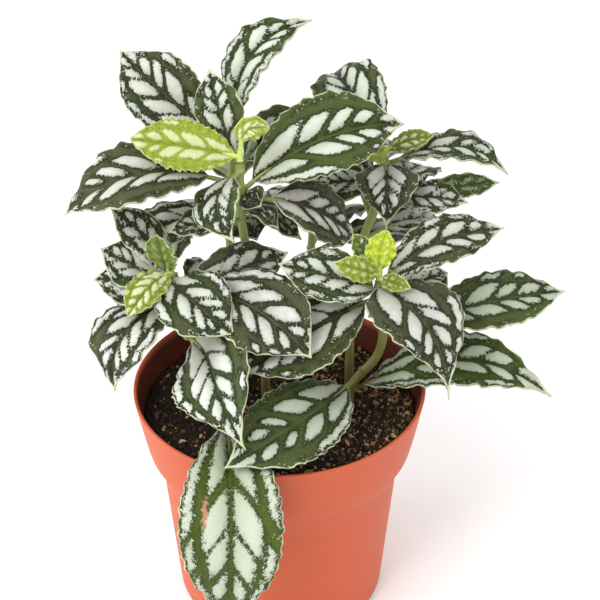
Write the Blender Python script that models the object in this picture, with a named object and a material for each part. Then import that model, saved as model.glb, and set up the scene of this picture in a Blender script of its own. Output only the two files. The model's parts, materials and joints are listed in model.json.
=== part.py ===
"""A potted aluminum plant: leafy stems with silver-patched leaves in a tapered plastic pot of soil.

Metres, +Z up. The places and widths in the leaf and stem tables are in millimetres.
The origin is the centre of the pot's foot, and the plant's front faces -Y.
"""

import math
import random
from typing import NamedTuple

import bmesh
import bpy
from mathutils import Vector

MM = 0.001

# Pot
RIM_RADIUS = 0.0600
POT_HEIGHT = 0.1030
SHOULDER_RADIUS = 0.0545
SHOULDER_HEIGHT = 0.0755
BODY_TOP_RADIUS = 0.0497
BODY_TOP_HEIGHT = 0.0680
FOOT_RADIUS = 0.0440
FOOT_CORNER = 0.0035
COLLAR_FLARE = 0.85
POT_WALL = 0.0014
POT_FLOOR = 0.0020
FLOOR_CORNER = 0.0030
POT_SIDES = 44
DRAIN_HOLES = 6
DRAIN_HOLE_RADIUS = 0.0040
DRAIN_CIRCLE_RADIUS = 0.0300
DRAIN_HOLE_SIDES = 16

# Soil
SOIL_HEIGHT = 0.0900
SOIL_WALL_TOP = 0.0780
SOIL_EDGE_INSET = 0.0012
SOIL_SIDES = POT_SIDES // 2
SOIL_RINGS = 7
SOIL_LUMP = 0.0016
SOIL_SEED = 11
STEM_HOLE_SIDES = 12
GAP = 0.0003

# Stems
STEM_FOOT = 0.0640
STEM_RADIUS = 0.0021
STEM_TAPER = 0.25
STEM_STEPS = 3
STUB_RADIUS = 0.0014
STUB_TAPER = 0.4
STUB_STEPS = 2

# Leaves: places along a blade from its base to its tip, and across it from edge to edge
STALK_RADIUS = 0.0011
BLADE_THICKNESS = 0.0008
BLADE_STATIONS = (0.0, 0.14, 0.30, 0.46, 0.62, 0.77, 0.90, 1.0)
BLADE_COLUMNS = (-1.0, -0.5, 0.0, 0.5, 1.0)
YOUNG_STATIONS = (0.0, 0.22, 0.44, 0.66, 0.86, 1.0)
YOUNG_COLUMNS = (-1.0, 0.0, 1.0)
WIDEST_AT = 0.52
BASE_ROUNDNESS = 0.78
POINT_FROM = 0.65
POINT_PINCH = 0.7
YOUNG_POINT_PINCH = 0.3
TIP_HALF_WIDTH = 0.0006
EDGE_WAVE = 0.035
QUILT = 0.0005
FOLD_CURL = 0.55

# Colours
TERRACOTTA = (0.62, 0.17, 0.09, 1.0)
SOIL_BROWN = (0.035, 0.022, 0.016, 1.0)
LEAF_GREEN = (0.09, 0.16, 0.08, 1.0)
YOUNG_GREEN = (0.42, 0.62, 0.08, 1.0)
SMOOTH_ANGLE = math.radians(40)


class Leaf(NamedTuple):
    """One leaf. Its root is where its stalk leaves the stem, its tip where its blade ends.

    face is the way its upper side looks, stalk the length without a blade, arch how far the
    centre line rises at a third and at two thirds, sway how far it bows sideways, fold how far
    the two halves rise from the midrib, and widest where along the blade it is widest. Arch and
    sway are shares of the leaf's length.
    """

    name: str
    root: tuple
    tip: tuple
    width: float
    face: tuple
    stalk: float
    arch: tuple
    sway: float = 0.0
    fold: float = 0.22
    widest: float = WIDEST_AT


class Shoot(NamedTuple):
    """A stem, as the points that it runs through, and the leaves that it carries."""

    name: str
    stem: tuple
    leaves: tuple


SHOOT_LEFT_HIGH_LEAVES = (
    Leaf("long_left", (-14.5, 6, 193), (-81, -8, 188), 37, (0.0, -0.15, 1.0), 12, (0.22, 0.3)),
    Leaf(
        "long_right", (-14.5, 6, 190), (49, 26, 209), 34, (0.0, -0.55, 0.83), 6, (0.12, 0.15), -0.08, 0.45,
    ),
    Leaf(
        "front_drooping", (-14.5, 5, 200), (-16, -20, 183), 21.5, (-0.5, -0.7, 0.4), 4,
        (0.25, 0.5), 0.14, 0.22, 0.45,
    ),
    Leaf("upright", (-14.5, 6, 201), (-26, 22, 235), 19, (-0.2, -0.9, 0.4), 4, (0.0, 0.0), -0.04),
    Leaf("lower_left", (-14.5, 6, 178), (-42, -6, 179), 14, (-0.1, -0.3, 0.9), 8, (0.1, 0.25), -0.1),
    Leaf("lower_front", (-14.5, 6, 180.5), (0, 0, 177), 11, (0.1, -0.1, 1.0), 3, (0.35, 0.4)),
    Leaf("shaded_right", (-14, 7, 187), (30, 18, 161.5), 27, (0.1, -0.45, 0.9), 10, (0.25, 0.2)),
    Leaf("small_right", (-14.5, 6, 189), (-6.6, 0, 187), 12, (0.0, -0.5, 0.85), 1, (0.3, 0.3)),
)
SHOOT_REAR_LEAVES = (
    Leaf("tall_left", (-18, 31, 198), (-62, 44, 232), 29, (0.1, -0.85, 0.5), 10, (0.05, 0.1), -0.06),
    Leaf("tall_right", (-18, 31, 198), (13, 52, 241), 23, (-0.7, -0.6, 0.3), 8, (0.27, 0.44), -0.05, 0.4),
    Leaf("behind_right", (-18, 31, 182), (14, 50, 200), 21, (0.0, -0.5, 0.85), 8, (0.12, 0.15), -0.1),
    Leaf("back_left", (-19, 31, 184), (-64, 52, 174), 26, (0.0, -0.1, 1.0), 10, (0.2, 0.2)),
    Leaf("back", (-19, 32, 170), (-22, 84, 158), 28, (0.0, 0.3, 1.0), 10, (0.25, 0.25)),
    Leaf("lower_left", (-19, 30, 166), (-60, 12, 158), 24, (0.0, -0.2, 1.0), 10, (0.2, 0.25)),
    Leaf("low_back", (-20, 31, 150), (-42, 80, 138), 28, (-0.1, 0.3, 1.0), 12, (0.25, 0.25)),
    Leaf("front_right", (-19, 30, 164), (-8.6, 12, 164.5), 18, (0.1, -0.4, 0.9), 5, (0.2, 0.25)),
    Leaf("low_right", (-19, 31, 175), (9, 14, 163.5), 9.5, (0.1, -0.5, 0.9), 12, (0.1, 0.15)),
)
SHOOT_RIGHT_HIGH_LEAVES = (
    Leaf("upright_back", (42, 45, 182), (22.5, 86, 201), 29, (0.0, -0.75, 0.65), 6, (0.25, 0.5), 0.0, 0.5),
    Leaf("right", (43, 45, 181), (92, 34, 182), 19, (0.1, -0.2, 1.0), 6, (0.17, 0.42), 0.0, 0.3),
    Leaf("front", (43, 44, 182), (43, 22, 162.5), 25.5, (0.0, -0.7, 0.7), 2, (0.3, 0.8), 0.0, 0.2, 0.36),
    Leaf("right_below", (40, 42, 168), (92, 58, 164.5), 11.5, (0.1, -0.5, 0.85), 16, (0.0, 0.14), 0.05),
    Leaf("right_front", (40, 42, 167), (76, 27, 173), 17, (0.0, -0.4, 0.9), 8, (0.1, 0.14), 0.05),
    Leaf("left", (41, 43, 172), (13, 42, 171), 20, (0.0, -0.5, 0.85), 4, (0.2, 0.2)),
    Leaf("back_right", (38, 39, 158), (66, 80, 158), 26, (0.0, 0.2, 1.0), 10, (0.2, 0.25)),
    Leaf("back_left", (38, 39, 158), (14, 88, 166), 26, (0.0, 0.2, 1.0), 10, (0.2, 0.25)),
    Leaf("low_back", (35, 34, 152), (74, 56, 140), 26, (0.1, 0.1, 1.0), 10, (0.2, 0.25)),
    Leaf("back", (43, 45, 178), (50, 86, 166), 24, (0.0, 0.3, 0.9), 8, (0.15, 0.2)),
)
SHOOT_RIGHT_FRONT_LEAVES = (
    Leaf("right", (39, -7.5, 154), (88, 4, 175), 21.5, (0.0, -0.4, 0.9), 5, (0.37, 0.24)),
    Leaf("left", (39, -7.5, 152), (0, -14, 170), 22, (0.0, -0.6, 0.8), 5, (0.42, 0.08), -0.05),
    Leaf(
        "front_right", (39, -9, 156.5), (65, -46, 129), 36, (0.3, -0.55, 0.8), 1,
        (0.3, 0.5), 0.0, 0.2, 0.35,
    ),
    Leaf("long_left", (40, -6, 150), (-15, -40, 137), 33, (-0.2, -0.6, 0.8), 8, (0.12, 0.02)),
    Leaf("low_right", (41, -3, 134), (114, 4, 145.5), 26, (0.0, -0.4, 0.9), 16, (0.1, 0.17), 0.06),
    Leaf("short_right", (41, -3, 144), (68, 14, 148), 20, (0.0, -0.4, 0.9), 6, (0.1, 0.1)),
    Leaf("low_front", (34, 2, 108), (-20, -66, 112), 32.5, (0.0, -0.6, 0.8), 18.5, (0.12, 0.15), -0.07),
    Leaf("lowest_right", (31, 3, 98), (110, -12, 105), 27, (0.0, -0.3, 0.95), 5, (0.24, 0.47)),
)
SHOOT_LEFT_FRONT_LEAVES = (
    Leaf("back_left", (-42, -6, 157), (-66, 10, 181), 16, (0.0, -0.6, 0.8), 3, (0.14, 0.0), 0.1),
    Leaf("left", (-42, -6, 154), (-69, -3, 170), 21, (-0.1, -0.5, 0.85), 3, (0.08, 0.0)),
    Leaf("left_below", (-41, -6, 150), (-72, -8, 159), 21, (-0.1, -0.5, 0.85), 4, (0.17, 0.18)),
    Leaf("drooping_left", (-41, -8, 152), (-63, -36, 126), 30, (-0.5, -0.5, 0.7), 4, (0.15, 0.55)),
    Leaf("front", (-42, -7, 158), (-16.3, -36, 152), 29, (0.1, -0.6, 0.8), 1, (0.3, 0.2), 0.1),
    Leaf("back_right", (-41, -6, 153), (3.7, 2, 165.2), 22, (0.0, -0.6, 0.8), 6, (0.18, 0.14), 0.08),
    Leaf("long_right", (-41.2, -3.5, 153), (12.7, -41, 145), 34, (0.1, -0.6, 0.8), 16, (0.14, 0.18), -0.09),
    Leaf(
        "low_front", (-36, -9.5, 133), (-12, -63, 118), 37, (-0.45, -0.65, 0.65), 5,
        (0.06, 0.43), -0.15, 0.22, 0.43,
    ),
    Leaf(
        "hanging", (-20.5, -20, 102), (-21, -71, 33), 39.5, (0.0, -0.9, 0.4), 3,
        (0.85, 0.45), -0.05, 0.2, 0.46,
    ),
)
SHOOT_BACK_MIDDLE_LEAVES = (
    Leaf("back", (13, 49, 138), (36, 98, 124), 30, (0.0, 0.4, 0.9), 8, (0.2, 0.25)),
    Leaf("right", (13, 48, 136), (68, 66, 124), 28, (0.2, 0.2, 1.0), 10, (0.2, 0.25)),
    Leaf("left", (14, 50, 148), (-18, 82, 138), 26, (-0.2, 0.3, 0.9), 10, (0.2, 0.25)),
    Leaf("upper_back", (14, 50, 150), (34, 86, 152), 24, (0.1, 0.3, 0.9), 8, (0.2, 0.25)),
)
SHOOT_BACK_LEFT_LEAVES = (
    Leaf("left", (-44, 32, 133), (-76, 46, 122), 26, (-0.3, 0.1, 1.0), 6, (0.2, 0.25)),
    Leaf("back", (-44, 32, 134), (-56, 78, 118), 28, (-0.1, 0.3, 0.9), 8, (0.2, 0.25)),
    Leaf("front_left", (-43, 31, 130), (-66, 16, 112), 22, (-0.3, -0.2, 0.9), 6, (0.25, 0.25)),
    Leaf("back_right", (-43, 31, 127), (-20, 66, 110), 26, (0.2, 0.4, 0.9), 8, (0.2, 0.25)),
)
GROWING_TIP_LEFT_HIGH_LEAVES = (
    Leaf("broad", (-14.5, 5, 206), (-55, -1, 217), 20, (0.0, -0.7, 0.7), 2, (0.1, 0.05)),
    Leaf("curled", (-14, 6, 208.5), (-3, 8, 216.5), 10, (0.2, -0.9, 0.3), 2, (0.2, 0.2), -0.5),
)
GROWING_TIP_RIGHT_HIGH_LEAVES = (
    Leaf("right", (43.5, 45, 187), (62, 41, 196), 9, (0.0, -0.6, 0.8), 1, (0.15, 0.1)),
    Leaf("left", (43.5, 45, 187), (34, 38, 190), 11, (0.0, -0.8, 0.6), 1, (0.2, 0.1)),
)
GROWING_TIP_RIGHT_FRONT_LEAVES = (
    Leaf("upright", (39.3, -8, 162), (42, -6, 180), 12, (0.1, -0.9, 0.4), 1, (0.1, 0.0), -0.1),
    Leaf("left", (39.3, -8.5, 161), (21.5, -20, 174), 10, (0.0, -0.8, 0.6), 2, (0.1, 0.1)),
    Leaf("back", (39.3, -7, 161), (29, -2, 176), 9, (0.0, -0.8, 0.6), 2, (0.1, 0.1)),
    Leaf("right", (39.3, -9, 160), (50.5, -22, 164), 7, (0.0, -0.8, 0.6), 1, (0.1, 0.1)),
)
GROWING_TIP_LEFT_FRONT_LEAVES = (
    Leaf("upright", (-42.2, -7.4, 162), (-46, -11, 181), 14, (-0.5, -0.8, 0.3), 1, (0.1, 0.0)),
    Leaf("drooping", (-42.2, -7.8, 162), (-57, -28.5, 155.5), 14.5, (-0.3, -0.7, 0.7), 1, (0.2, 0.2)),
)

SHOOTS = (
    Shoot(
        "shoot_left_high",
        ((-6, 10, 98), (-11, 9, 150), (-14.5, 6, 180), (-14.5, 5.5, 203)),
        SHOOT_LEFT_HIGH_LEAVES,
    ),
    Shoot(
        "shoot_rear",
        ((-14, 22, 98), (-20, 30, 140), (-19, 31, 180), (-18, 31, 201)),
        SHOOT_REAR_LEAVES,
    ),
    Shoot(
        "shoot_right_high",
        ((29, 14, 98), (31, 28, 140), (41, 43, 170), (43, 45, 184)),
        SHOOT_RIGHT_HIGH_LEAVES,
    ),
    Shoot(
        "shoot_right_front",
        ((29, 2, 98), (40.5, 1, 118), (41, -3, 140), (39, -8, 158)),
        SHOOT_RIGHT_FRONT_LEAVES,
    ),
    Shoot(
        "shoot_left_front",
        ((-21, -20, 98), (-31, -12, 125), (-40, -7, 150), (-42, -6.5, 159)),
        SHOOT_LEFT_FRONT_LEAVES,
    ),
    Shoot(
        "shoot_back_middle",
        ((6, 32, 98), (12, 46, 128), (14, 50, 152)),
        SHOOT_BACK_MIDDLE_LEAVES,
    ),
    Shoot(
        "shoot_back_left",
        ((-28, 16, 98), (-40, 28, 118), (-44, 32, 136)),
        SHOOT_BACK_LEFT_LEAVES,
    ),
)

GROWING_TIPS = (
    Shoot(
        "growing_tip_left_high",
        ((-14.5, 5.3, 204.3), (-14.5, 5.3, 209)),
        GROWING_TIP_LEFT_HIGH_LEAVES,
    ),
    Shoot(
        "growing_tip_right_high",
        ((43.4, 45, 185), (43.5, 45, 189)),
        GROWING_TIP_RIGHT_HIGH_LEAVES,
    ),
    Shoot(
        "growing_tip_right_front",
        ((39.1, -8.3, 159.2), (39.5, -8.4, 164)),
        GROWING_TIP_RIGHT_FRONT_LEAVES,
    ),
    Shoot(
        "growing_tip_left_front",
        ((-42, -6.8, 160.3), (-42.2, -7.2, 164.5)),
        GROWING_TIP_LEFT_FRONT_LEAVES,
    ),
)


def material(name, colour, roughness):
    made = bpy.data.materials.new(name)
    made.use_nodes = True
    shader = made.node_tree.nodes["Principled BSDF"]
    shader.inputs["Base Color"].default_value = colour
    shader.inputs["Roughness"].default_value = roughness
    shader.inputs["Metallic"].default_value = 0.0
    made.diffuse_color = colour
    return made


def object_from(name, mesh, finish=None):
    made = bpy.data.objects.new(name, mesh)
    bpy.context.scene.collection.objects.link(made)
    if finish is not None:
        mesh.materials.append(finish)
    return made


def object_from_bmesh(name, bm, finish=None):
    bmesh.ops.recalc_face_normals(bm, faces=bm.faces)
    mesh = bpy.data.meshes.new(name)
    bm.to_mesh(mesh)
    bm.free()
    return object_from(name, mesh, finish)


def baked_mesh(made):
    """The object's mesh with its modifiers applied."""
    graph = bpy.context.evaluated_depsgraph_get()
    graph.update()
    return bpy.data.meshes.new_from_object(made.evaluated_get(graph))


def drop(objects):
    for each in list(objects):
        bpy.data.objects.remove(each, do_unlink=True)


def smooth(made):
    made.data.shade_smooth()
    made.data.set_sharp_from_angle(angle=SMOOTH_ANGLE)


def spun(profile, sides):
    """A bmesh of a profile of (radius, height) spun round Z. It starts and ends on the axis."""
    bm = bmesh.new()
    points = [bm.verts.new((radius, 0, height)) for radius, height in profile]
    edges = [bm.edges.new(pair) for pair in zip(points, points[1:])]
    bmesh.ops.spin(
        bm,
        geom=points + edges,
        cent=(0, 0, 0),
        axis=(0, 0, 1),
        angle=2 * math.pi,
        steps=sides,
        use_merge=True,
    )
    bmesh.ops.remove_doubles(bm, verts=bm.verts, dist=1e-6)
    return bm


def hole_cutter(name, radius, bottom, top, centre, sides):
    bm = bmesh.new()
    bmesh.ops.create_cone(
        bm, cap_ends=True, segments=sides, radius1=radius, radius2=radius, depth=top - bottom
    )
    cutter = object_from_bmesh(name, bm)
    cutter.location = (centre[0], centre[1], (bottom + top) / 2)
    return cutter


def join_all(base, parts, operation, solver):
    """Joins many closed parts to a base, or cuts them from it, in one Boolean, and removes them."""
    group = bpy.data.collections.new(base.name + "_parts")
    for part in parts:
        group.objects.link(part)
        part.hide_render = True
        part.display_type = "WIRE"
    boolean = base.modifiers.new(operation.title(), "BOOLEAN")
    boolean.operation = operation
    boolean.operand_type = "COLLECTION"
    boolean.collection = group
    boolean.solver = solver
    baked = baked_mesh(base)
    base.modifiers.clear()
    base.data = baked
    baked.name = base.name
    drop(parts)
    bpy.data.collections.remove(group)


def outer_radius(height):
    """The pot's outer radius: a body that widens slowly, a step, and a collar that flares."""
    if height <= BODY_TOP_HEIGHT:
        share = max(height - FOOT_CORNER, 0.0) / (BODY_TOP_HEIGHT - FOOT_CORNER)
        return FOOT_RADIUS + (BODY_TOP_RADIUS - FOOT_RADIUS) * share
    if height <= SHOULDER_HEIGHT:
        share = (height - BODY_TOP_HEIGHT) / (SHOULDER_HEIGHT - BODY_TOP_HEIGHT)
        return BODY_TOP_RADIUS + (SHOULDER_RADIUS - BODY_TOP_RADIUS) * share
    share = (height - SHOULDER_HEIGHT) / (POT_HEIGHT - SHOULDER_HEIGHT)
    return SHOULDER_RADIUS + (RIM_RADIUS - SHOULDER_RADIUS) * share**COLLAR_FLARE


def wall_heights(low, high, rows):
    return [low + (high - low) * row / rows for row in range(rows + 1)]


def build_pot():
    """A thin-walled pot with a rounded foot, a flat base and drain holes round it."""
    corner = [
        (
            FOOT_RADIUS - FOOT_CORNER * (1 - math.sin(turn)),
            FOOT_CORNER * (1 - math.cos(turn)),
        )
        for turn in (0, math.pi / 4)
    ]
    heights = [FOOT_CORNER] + wall_heights(BODY_TOP_HEIGHT / 2, BODY_TOP_HEIGHT, 1)
    heights += wall_heights(SHOULDER_HEIGHT, POT_HEIGHT, 4)
    outer = corner + [(outer_radius(z), z) for z in heights]
    inner = [(outer_radius(z) - POT_WALL, z) for z in heights[:0:-1]]
    floor_radius = FOOT_RADIUS - POT_WALL
    floor = [(floor_radius, POT_FLOOR + FLOOR_CORNER), (floor_radius - FLOOR_CORNER, POT_FLOOR)]
    profile = [(0, 0)] + outer + inner + floor + [(0, POT_FLOOR)]
    finish = material("terracotta_plastic", TERRACOTTA, 0.5)
    pot = object_from_bmesh("pot", spun(profile, POT_SIDES), finish)
    holes = []
    for hole in range(DRAIN_HOLES):
        turn = 2 * math.pi * hole / DRAIN_HOLES
        centre = (DRAIN_CIRCLE_RADIUS * math.cos(turn), DRAIN_CIRCLE_RADIUS * math.sin(turn))
        name = f"drain_hole_{hole}"
        holes.append(
            hole_cutter(name, DRAIN_HOLE_RADIUS, -POT_FLOOR, 2 * POT_FLOOR, centre, DRAIN_HOLE_SIDES)
        )
    join_all(pot, holes, "DIFFERENCE", "EXACT")
    smooth(pot)


def build_soil():
    """Potting mix that follows the pot's inner wall, with a lumpy top and a blind hole for each stem."""
    clearance = POT_WALL + GAP
    base = POT_FLOOR + GAP
    heights = [base + FLOOR_CORNER, BODY_TOP_HEIGHT / 2, BODY_TOP_HEIGHT, SHOULDER_HEIGHT, SOIL_WALL_TOP]
    wall = [(outer_radius(z) - clearance, z) for z in heights]
    edge = outer_radius(SOIL_HEIGHT) - clearance - SOIL_EDGE_INSET
    top = [(edge * (1 - ring / SOIL_RINGS), SOIL_HEIGHT) for ring in range(SOIL_RINGS + 1)]
    profile = [(0, base), (wall[0][0] - FLOOR_CORNER, base)] + wall + top
    bm = spun(profile, SOIL_SIDES)
    rng = random.Random(SOIL_SEED)
    for vert in bm.verts:
        if vert.co.z > (SOIL_WALL_TOP + SOIL_HEIGHT) / 2:
            vert.co.z += rng.uniform(-SOIL_LUMP, SOIL_LUMP)
    bmesh.ops.triangulate(bm, faces=bm.faces)
    soil = object_from_bmesh("soil", bm, material("potting_mix", SOIL_BROWN, 0.95))
    radius = STEM_RADIUS + 2 * GAP
    bottom = STEM_FOOT - GAP
    above = SOIL_HEIGHT + 4 * SOIL_LUMP
    holes = [
        hole_cutter(
            shoot.name + "_hole", radius, bottom, above, Vector(shoot.stem[0]) * MM, STEM_HOLE_SIDES
        )
        for shoot in SHOOTS
    ]
    join_all(soil, holes, "DIFFERENCE", "EXACT")


def stem_points(shoot):
    return [Vector(point) * MM for point in shoot.stem]


def stem_object(name, points, radius, taper, steps, finish):
    """A round stem through the points, straight to the second: a Bezier curve with a bevel, as a mesh."""
    curve = bpy.data.curves.new(name, "CURVE")
    curve.dimensions = "3D"
    curve.resolution_u = steps
    curve.bevel_depth = radius
    curve.bevel_resolution = 2
    curve.use_fill_caps = True
    spline = curve.splines.new("BEZIER")
    spline.bezier_points.add(len(points) - 1)
    for i, (knot, point) in enumerate(zip(spline.bezier_points, points)):
        knot.co = point
        knot.handle_left_type = "AUTO" if i > 1 else "VECTOR"
        knot.handle_right_type = "AUTO" if i > 0 else "VECTOR"
        knot.radius = 1 - taper * i / (len(points) - 1)
    guide = bpy.data.objects.new(name + "_line", curve)
    bpy.context.scene.collection.objects.link(guide)
    mesh = baked_mesh(guide)
    drop([guide])
    bm = bmesh.new()
    bm.from_mesh(mesh)
    bmesh.ops.remove_doubles(bm, verts=bm.verts, dist=1e-6)
    return object_from_bmesh(name, bm, finish)


def centre_line(leaf):
    """A function of 0 to 1 that gives the leaf's centre line, the way up from it, and its length."""
    start, end = Vector(leaf.root) * MM, Vector(leaf.tip) * MM
    chord = end - start
    length = chord.length
    up = Vector(leaf.face)
    up = (up - up.dot(chord) * chord / length**2).normalized()
    lean = chord.cross(up).normalized() * leaf.sway * length
    first = start + chord / 3 + up * leaf.arch[0] * length + lean
    second = start + chord * 2 / 3 + up * leaf.arch[1] * length + lean

    def at(t):
        s = 1 - t
        return start * s**3 + first * (3 * s * s * t) + second * (3 * s * t * t) + end * t**3

    return at, up, length


def half_width(u, widest, pinch):
    """The blade's half width along its length from 0 to 1, as a share of its widest, with a drawn-out tip."""
    fall = BASE_ROUNDNESS * (1 - widest) / widest
    most = widest**BASE_ROUNDNESS * (1 - widest) ** fall
    point = 1 - pinch * max(0.0, (u - POINT_FROM) / (1 - POINT_FROM)) ** 2
    return u**BASE_ROUNDNESS * (1 - u) ** fall / most * point


def leaf_object(leaf, name, stations, columns, pinch, finish):
    """A stalk that widens into a folded blade with a waved edge, as a bent grid with a thickness."""
    at, up, length = centre_line(leaf)
    bare = leaf.stalk * MM / length
    places = [0.0, bare / 2] + [bare + (1 - bare) * u for u in stations]
    bm = bmesh.new()
    bmesh.ops.create_grid(bm, x_segments=len(columns) - 1, y_segments=len(places) - 1, size=1)
    bm.verts.ensure_lookup_table()
    step = 1e-2
    for vert in bm.verts:
        row = round((vert.co.y + 1) / 2 * (len(places) - 1))
        across_share = columns[round((vert.co.x + 1) / 2 * (len(columns) - 1))]
        t = places[row]
        ahead = (at(min(t + step, 1)) - at(max(t - step, 0))).normalized()
        normal = (up - up.dot(ahead) * ahead).normalized()
        across = ahead.cross(normal)
        out = abs(across_share)
        half = STALK_RADIUS
        quilt = 0.0
        if row > 2:
            wave = 1 if row % 2 else -1
            u = stations[row - 2]
            half = leaf.width * MM / 2 * half_width(u, leaf.widest, pinch) * (1 + EDGE_WAVE * wave)
            half = max(half, TIP_HALF_WIDTH)
            quilt = QUILT * wave * (u < BLADE_STATIONS[-2]) * (1 - abs(out * 2 - 1))
        rise = leaf.fold * half * (out - FOLD_CURL * out * out) + quilt
        vert.co = at(t) + across * (half * across_share) + normal * rise
    bmesh.ops.triangulate(bm, faces=bm.faces)
    made = object_from_bmesh(f"{name}_{leaf.name}", bm, finish)
    skin = made.modifiers.new("Thickness", "SOLIDIFY")
    skin.thickness = BLADE_THICKNESS
    skin.offset = 0
    return made


def build_shoot(shoot, finish):
    """A leafy stem whose straight foot stands in its hole in the soil."""
    points = stem_points(shoot)
    foot = Vector((points[0].x, points[0].y, STEM_FOOT))
    made = stem_object(shoot.name, [foot] + points, STEM_RADIUS, STEM_TAPER, STEM_STEPS, finish)
    leaves = [
        leaf_object(leaf, shoot.name, BLADE_STATIONS, BLADE_COLUMNS, POINT_PINCH, finish)
        for leaf in shoot.leaves
    ]
    join_all(made, leaves, "UNION", "MANIFOLD")
    smooth(made)


def build_growing_tip(shoot, finish):
    """The young leaves on a short stub just over the end of their stem."""
    made = stem_object(shoot.name, stem_points(shoot), STUB_RADIUS, STUB_TAPER, STUB_STEPS, finish)
    leaves = [
        leaf_object(leaf, shoot.name, YOUNG_STATIONS, YOUNG_COLUMNS, YOUNG_POINT_PINCH, finish)
        for leaf in shoot.leaves
    ]
    join_all(made, leaves, "UNION", "MANIFOLD")
    smooth(made)


def main():
    drop(bpy.data.objects)
    build_pot()
    build_soil()
    grown = material("leaf", LEAF_GREEN, 0.5)
    for shoot in SHOOTS:
        build_shoot(shoot, grown)
    young = material("young_leaf", YOUNG_GREEN, 0.5)
    for shoot in GROWING_TIPS:
        build_growing_tip(shoot, young)


main()
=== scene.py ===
"""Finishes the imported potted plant: fine leaf blades, stems, soil and pot, laid over its frame.

Metres, +Z up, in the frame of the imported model. The tables of leaves and stems are in millimetres.
"""

import json
import math
import random
import zlib
from typing import NamedTuple

import bmesh
import bpy
import numpy as np
from bpy.props import FloatProperty, FloatVectorProperty, IntProperty, PointerProperty
from mathutils import Euler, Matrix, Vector, noise

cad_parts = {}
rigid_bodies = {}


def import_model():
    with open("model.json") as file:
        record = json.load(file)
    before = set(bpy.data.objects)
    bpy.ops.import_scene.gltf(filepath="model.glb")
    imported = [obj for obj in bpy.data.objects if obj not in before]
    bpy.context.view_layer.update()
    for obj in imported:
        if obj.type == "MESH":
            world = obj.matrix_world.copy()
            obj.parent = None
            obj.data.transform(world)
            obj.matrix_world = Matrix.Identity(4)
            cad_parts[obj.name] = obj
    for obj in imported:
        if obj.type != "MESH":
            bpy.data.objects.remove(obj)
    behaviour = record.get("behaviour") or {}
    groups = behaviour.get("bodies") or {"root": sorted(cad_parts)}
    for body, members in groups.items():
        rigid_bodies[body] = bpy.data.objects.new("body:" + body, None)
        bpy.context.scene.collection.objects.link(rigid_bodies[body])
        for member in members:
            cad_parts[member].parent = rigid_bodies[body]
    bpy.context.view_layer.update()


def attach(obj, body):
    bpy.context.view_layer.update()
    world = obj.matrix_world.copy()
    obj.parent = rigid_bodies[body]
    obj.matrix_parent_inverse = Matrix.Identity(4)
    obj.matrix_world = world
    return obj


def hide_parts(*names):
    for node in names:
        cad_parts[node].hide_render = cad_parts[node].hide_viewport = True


bl_info = {
    "name": "Potted Aluminum Plant",
    "version": (1, 0, 0),
    "blender": (4, 5, 0),
    "location": "View3D > Sidebar > Plant",
    "description": "Leafy stems with silver patches, in a plastic pot of soil",
    "category": "Object",
}

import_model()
MM = 0.001

# The pot and the soil in it, as in the solid model
RIM_RADIUS = 0.0600
POT_HEIGHT = 0.1030
SHOULDER_RADIUS = 0.0545
SHOULDER_HEIGHT = 0.0755
BODY_TOP_RADIUS = 0.0497
BODY_TOP_HEIGHT = 0.0680
FOOT_RADIUS = 0.0440
FOOT_CORNER = 0.0035
COLLAR_FLARE = 0.85
POT_WALL = 0.0014
POT_FLOOR = 0.0020
FLOOR_CORNER = 0.0030
RIM_ROUND = 0.0006
DRAIN_HOLES = 6
DRAIN_HOLE_RADIUS = 0.0040
DRAIN_CIRCLE_RADIUS = 0.0300
SOIL_HEIGHT = 0.0900
GAP = 0.0003

# The fine form of the pot
RING_CLEARANCE = 0.0008
RIM_ARC_START = 0.3
FLOOR_ARC_START = 0.2
POT_SHARP_ANGLE = math.radians(50)
# Depth below the rim over which the painted shade on the inner wall fades in, leaving a lit band at the lip
LIT_BELOW_RIM = 0.0025

# The fine form of the soil and its crumbs
SOIL_SIDES = 160
SOIL_RINGS = 54
LUMPS_PER_METRE = 130
LUMP_HEIGHT = 0.0011
SWELLS_PER_METRE = 38
SWELL_HEIGHT = 0.0012
CRUMB_SEED = 5
CRUMB_LEAST = 0.00034
CRUMB_SPREAD = 0.0009
CRUMB_CIRCLE = 0.985
CRUMB_LIFT = 0.35
CRUMB_STRETCHES = ((0.7, 2.2), (0.6, 1.2), (0.4, 1.0))
CRUMB_BUMPS = 0.16
LIGHT_CRUMBS_AT_LEFT = 0.06
LIGHT_CRUMBS_RISE = 0.5
LIGHT_TONES = (0.35, 1.0)
DARK_TONE_LIMIT = 0.4

# Stems and stalks, the first five values as in the solid model
STEM_FOOT = 0.0640
STEM_RADIUS = 0.0021
STEM_TAPER = 0.25
STUB_RADIUS = 0.0014
STUB_TAPER = 0.4
STEM_STEPS = 12
KNUCKLE_SWELL = 1.25
STALK_RADIUS = 0.0010
STALK_STEPS = 4
STALK_SWELLS = (1.25, 1.0, 1.0, 0.9, 0.7)
STALK_END_RADIUS = 0.0004
STALK_UNDER_BLADE = 0.12
STALK_SINK = 0.0004

# The outline of a blade
WIDEST_AT = 0.52
BASE_ROUNDNESS = 0.78
BASE_SHARE = 0.3
BASE_HALF_WIDTH = STALK_RADIUS * 0.8
TIP_HALF_WIDTH = 0.00018
POINT_FROM = 0.65
TOOTH_LEAN = 0.6
TOOTH_UNEVEN = 0.4
TOOTH_BEAT = 0.43

# The relief of a blade, with heights in metres and distances across it in millimetres
FOLD_CURL = 0.55
PATCH_FOOT = 0.6
PATCH_SLOPE = 2.6
CUSHION_SHARE = 0.6
RIB_GROOVE = (0.0006, 0.9)
ROW_GROOVE = (0.00025, 0.8)
ROW_GROOVE_AT = 0.61
TEETH_PER_RUFFLE = 1.7
RELIEF_FULL_FROM = 4

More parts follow.
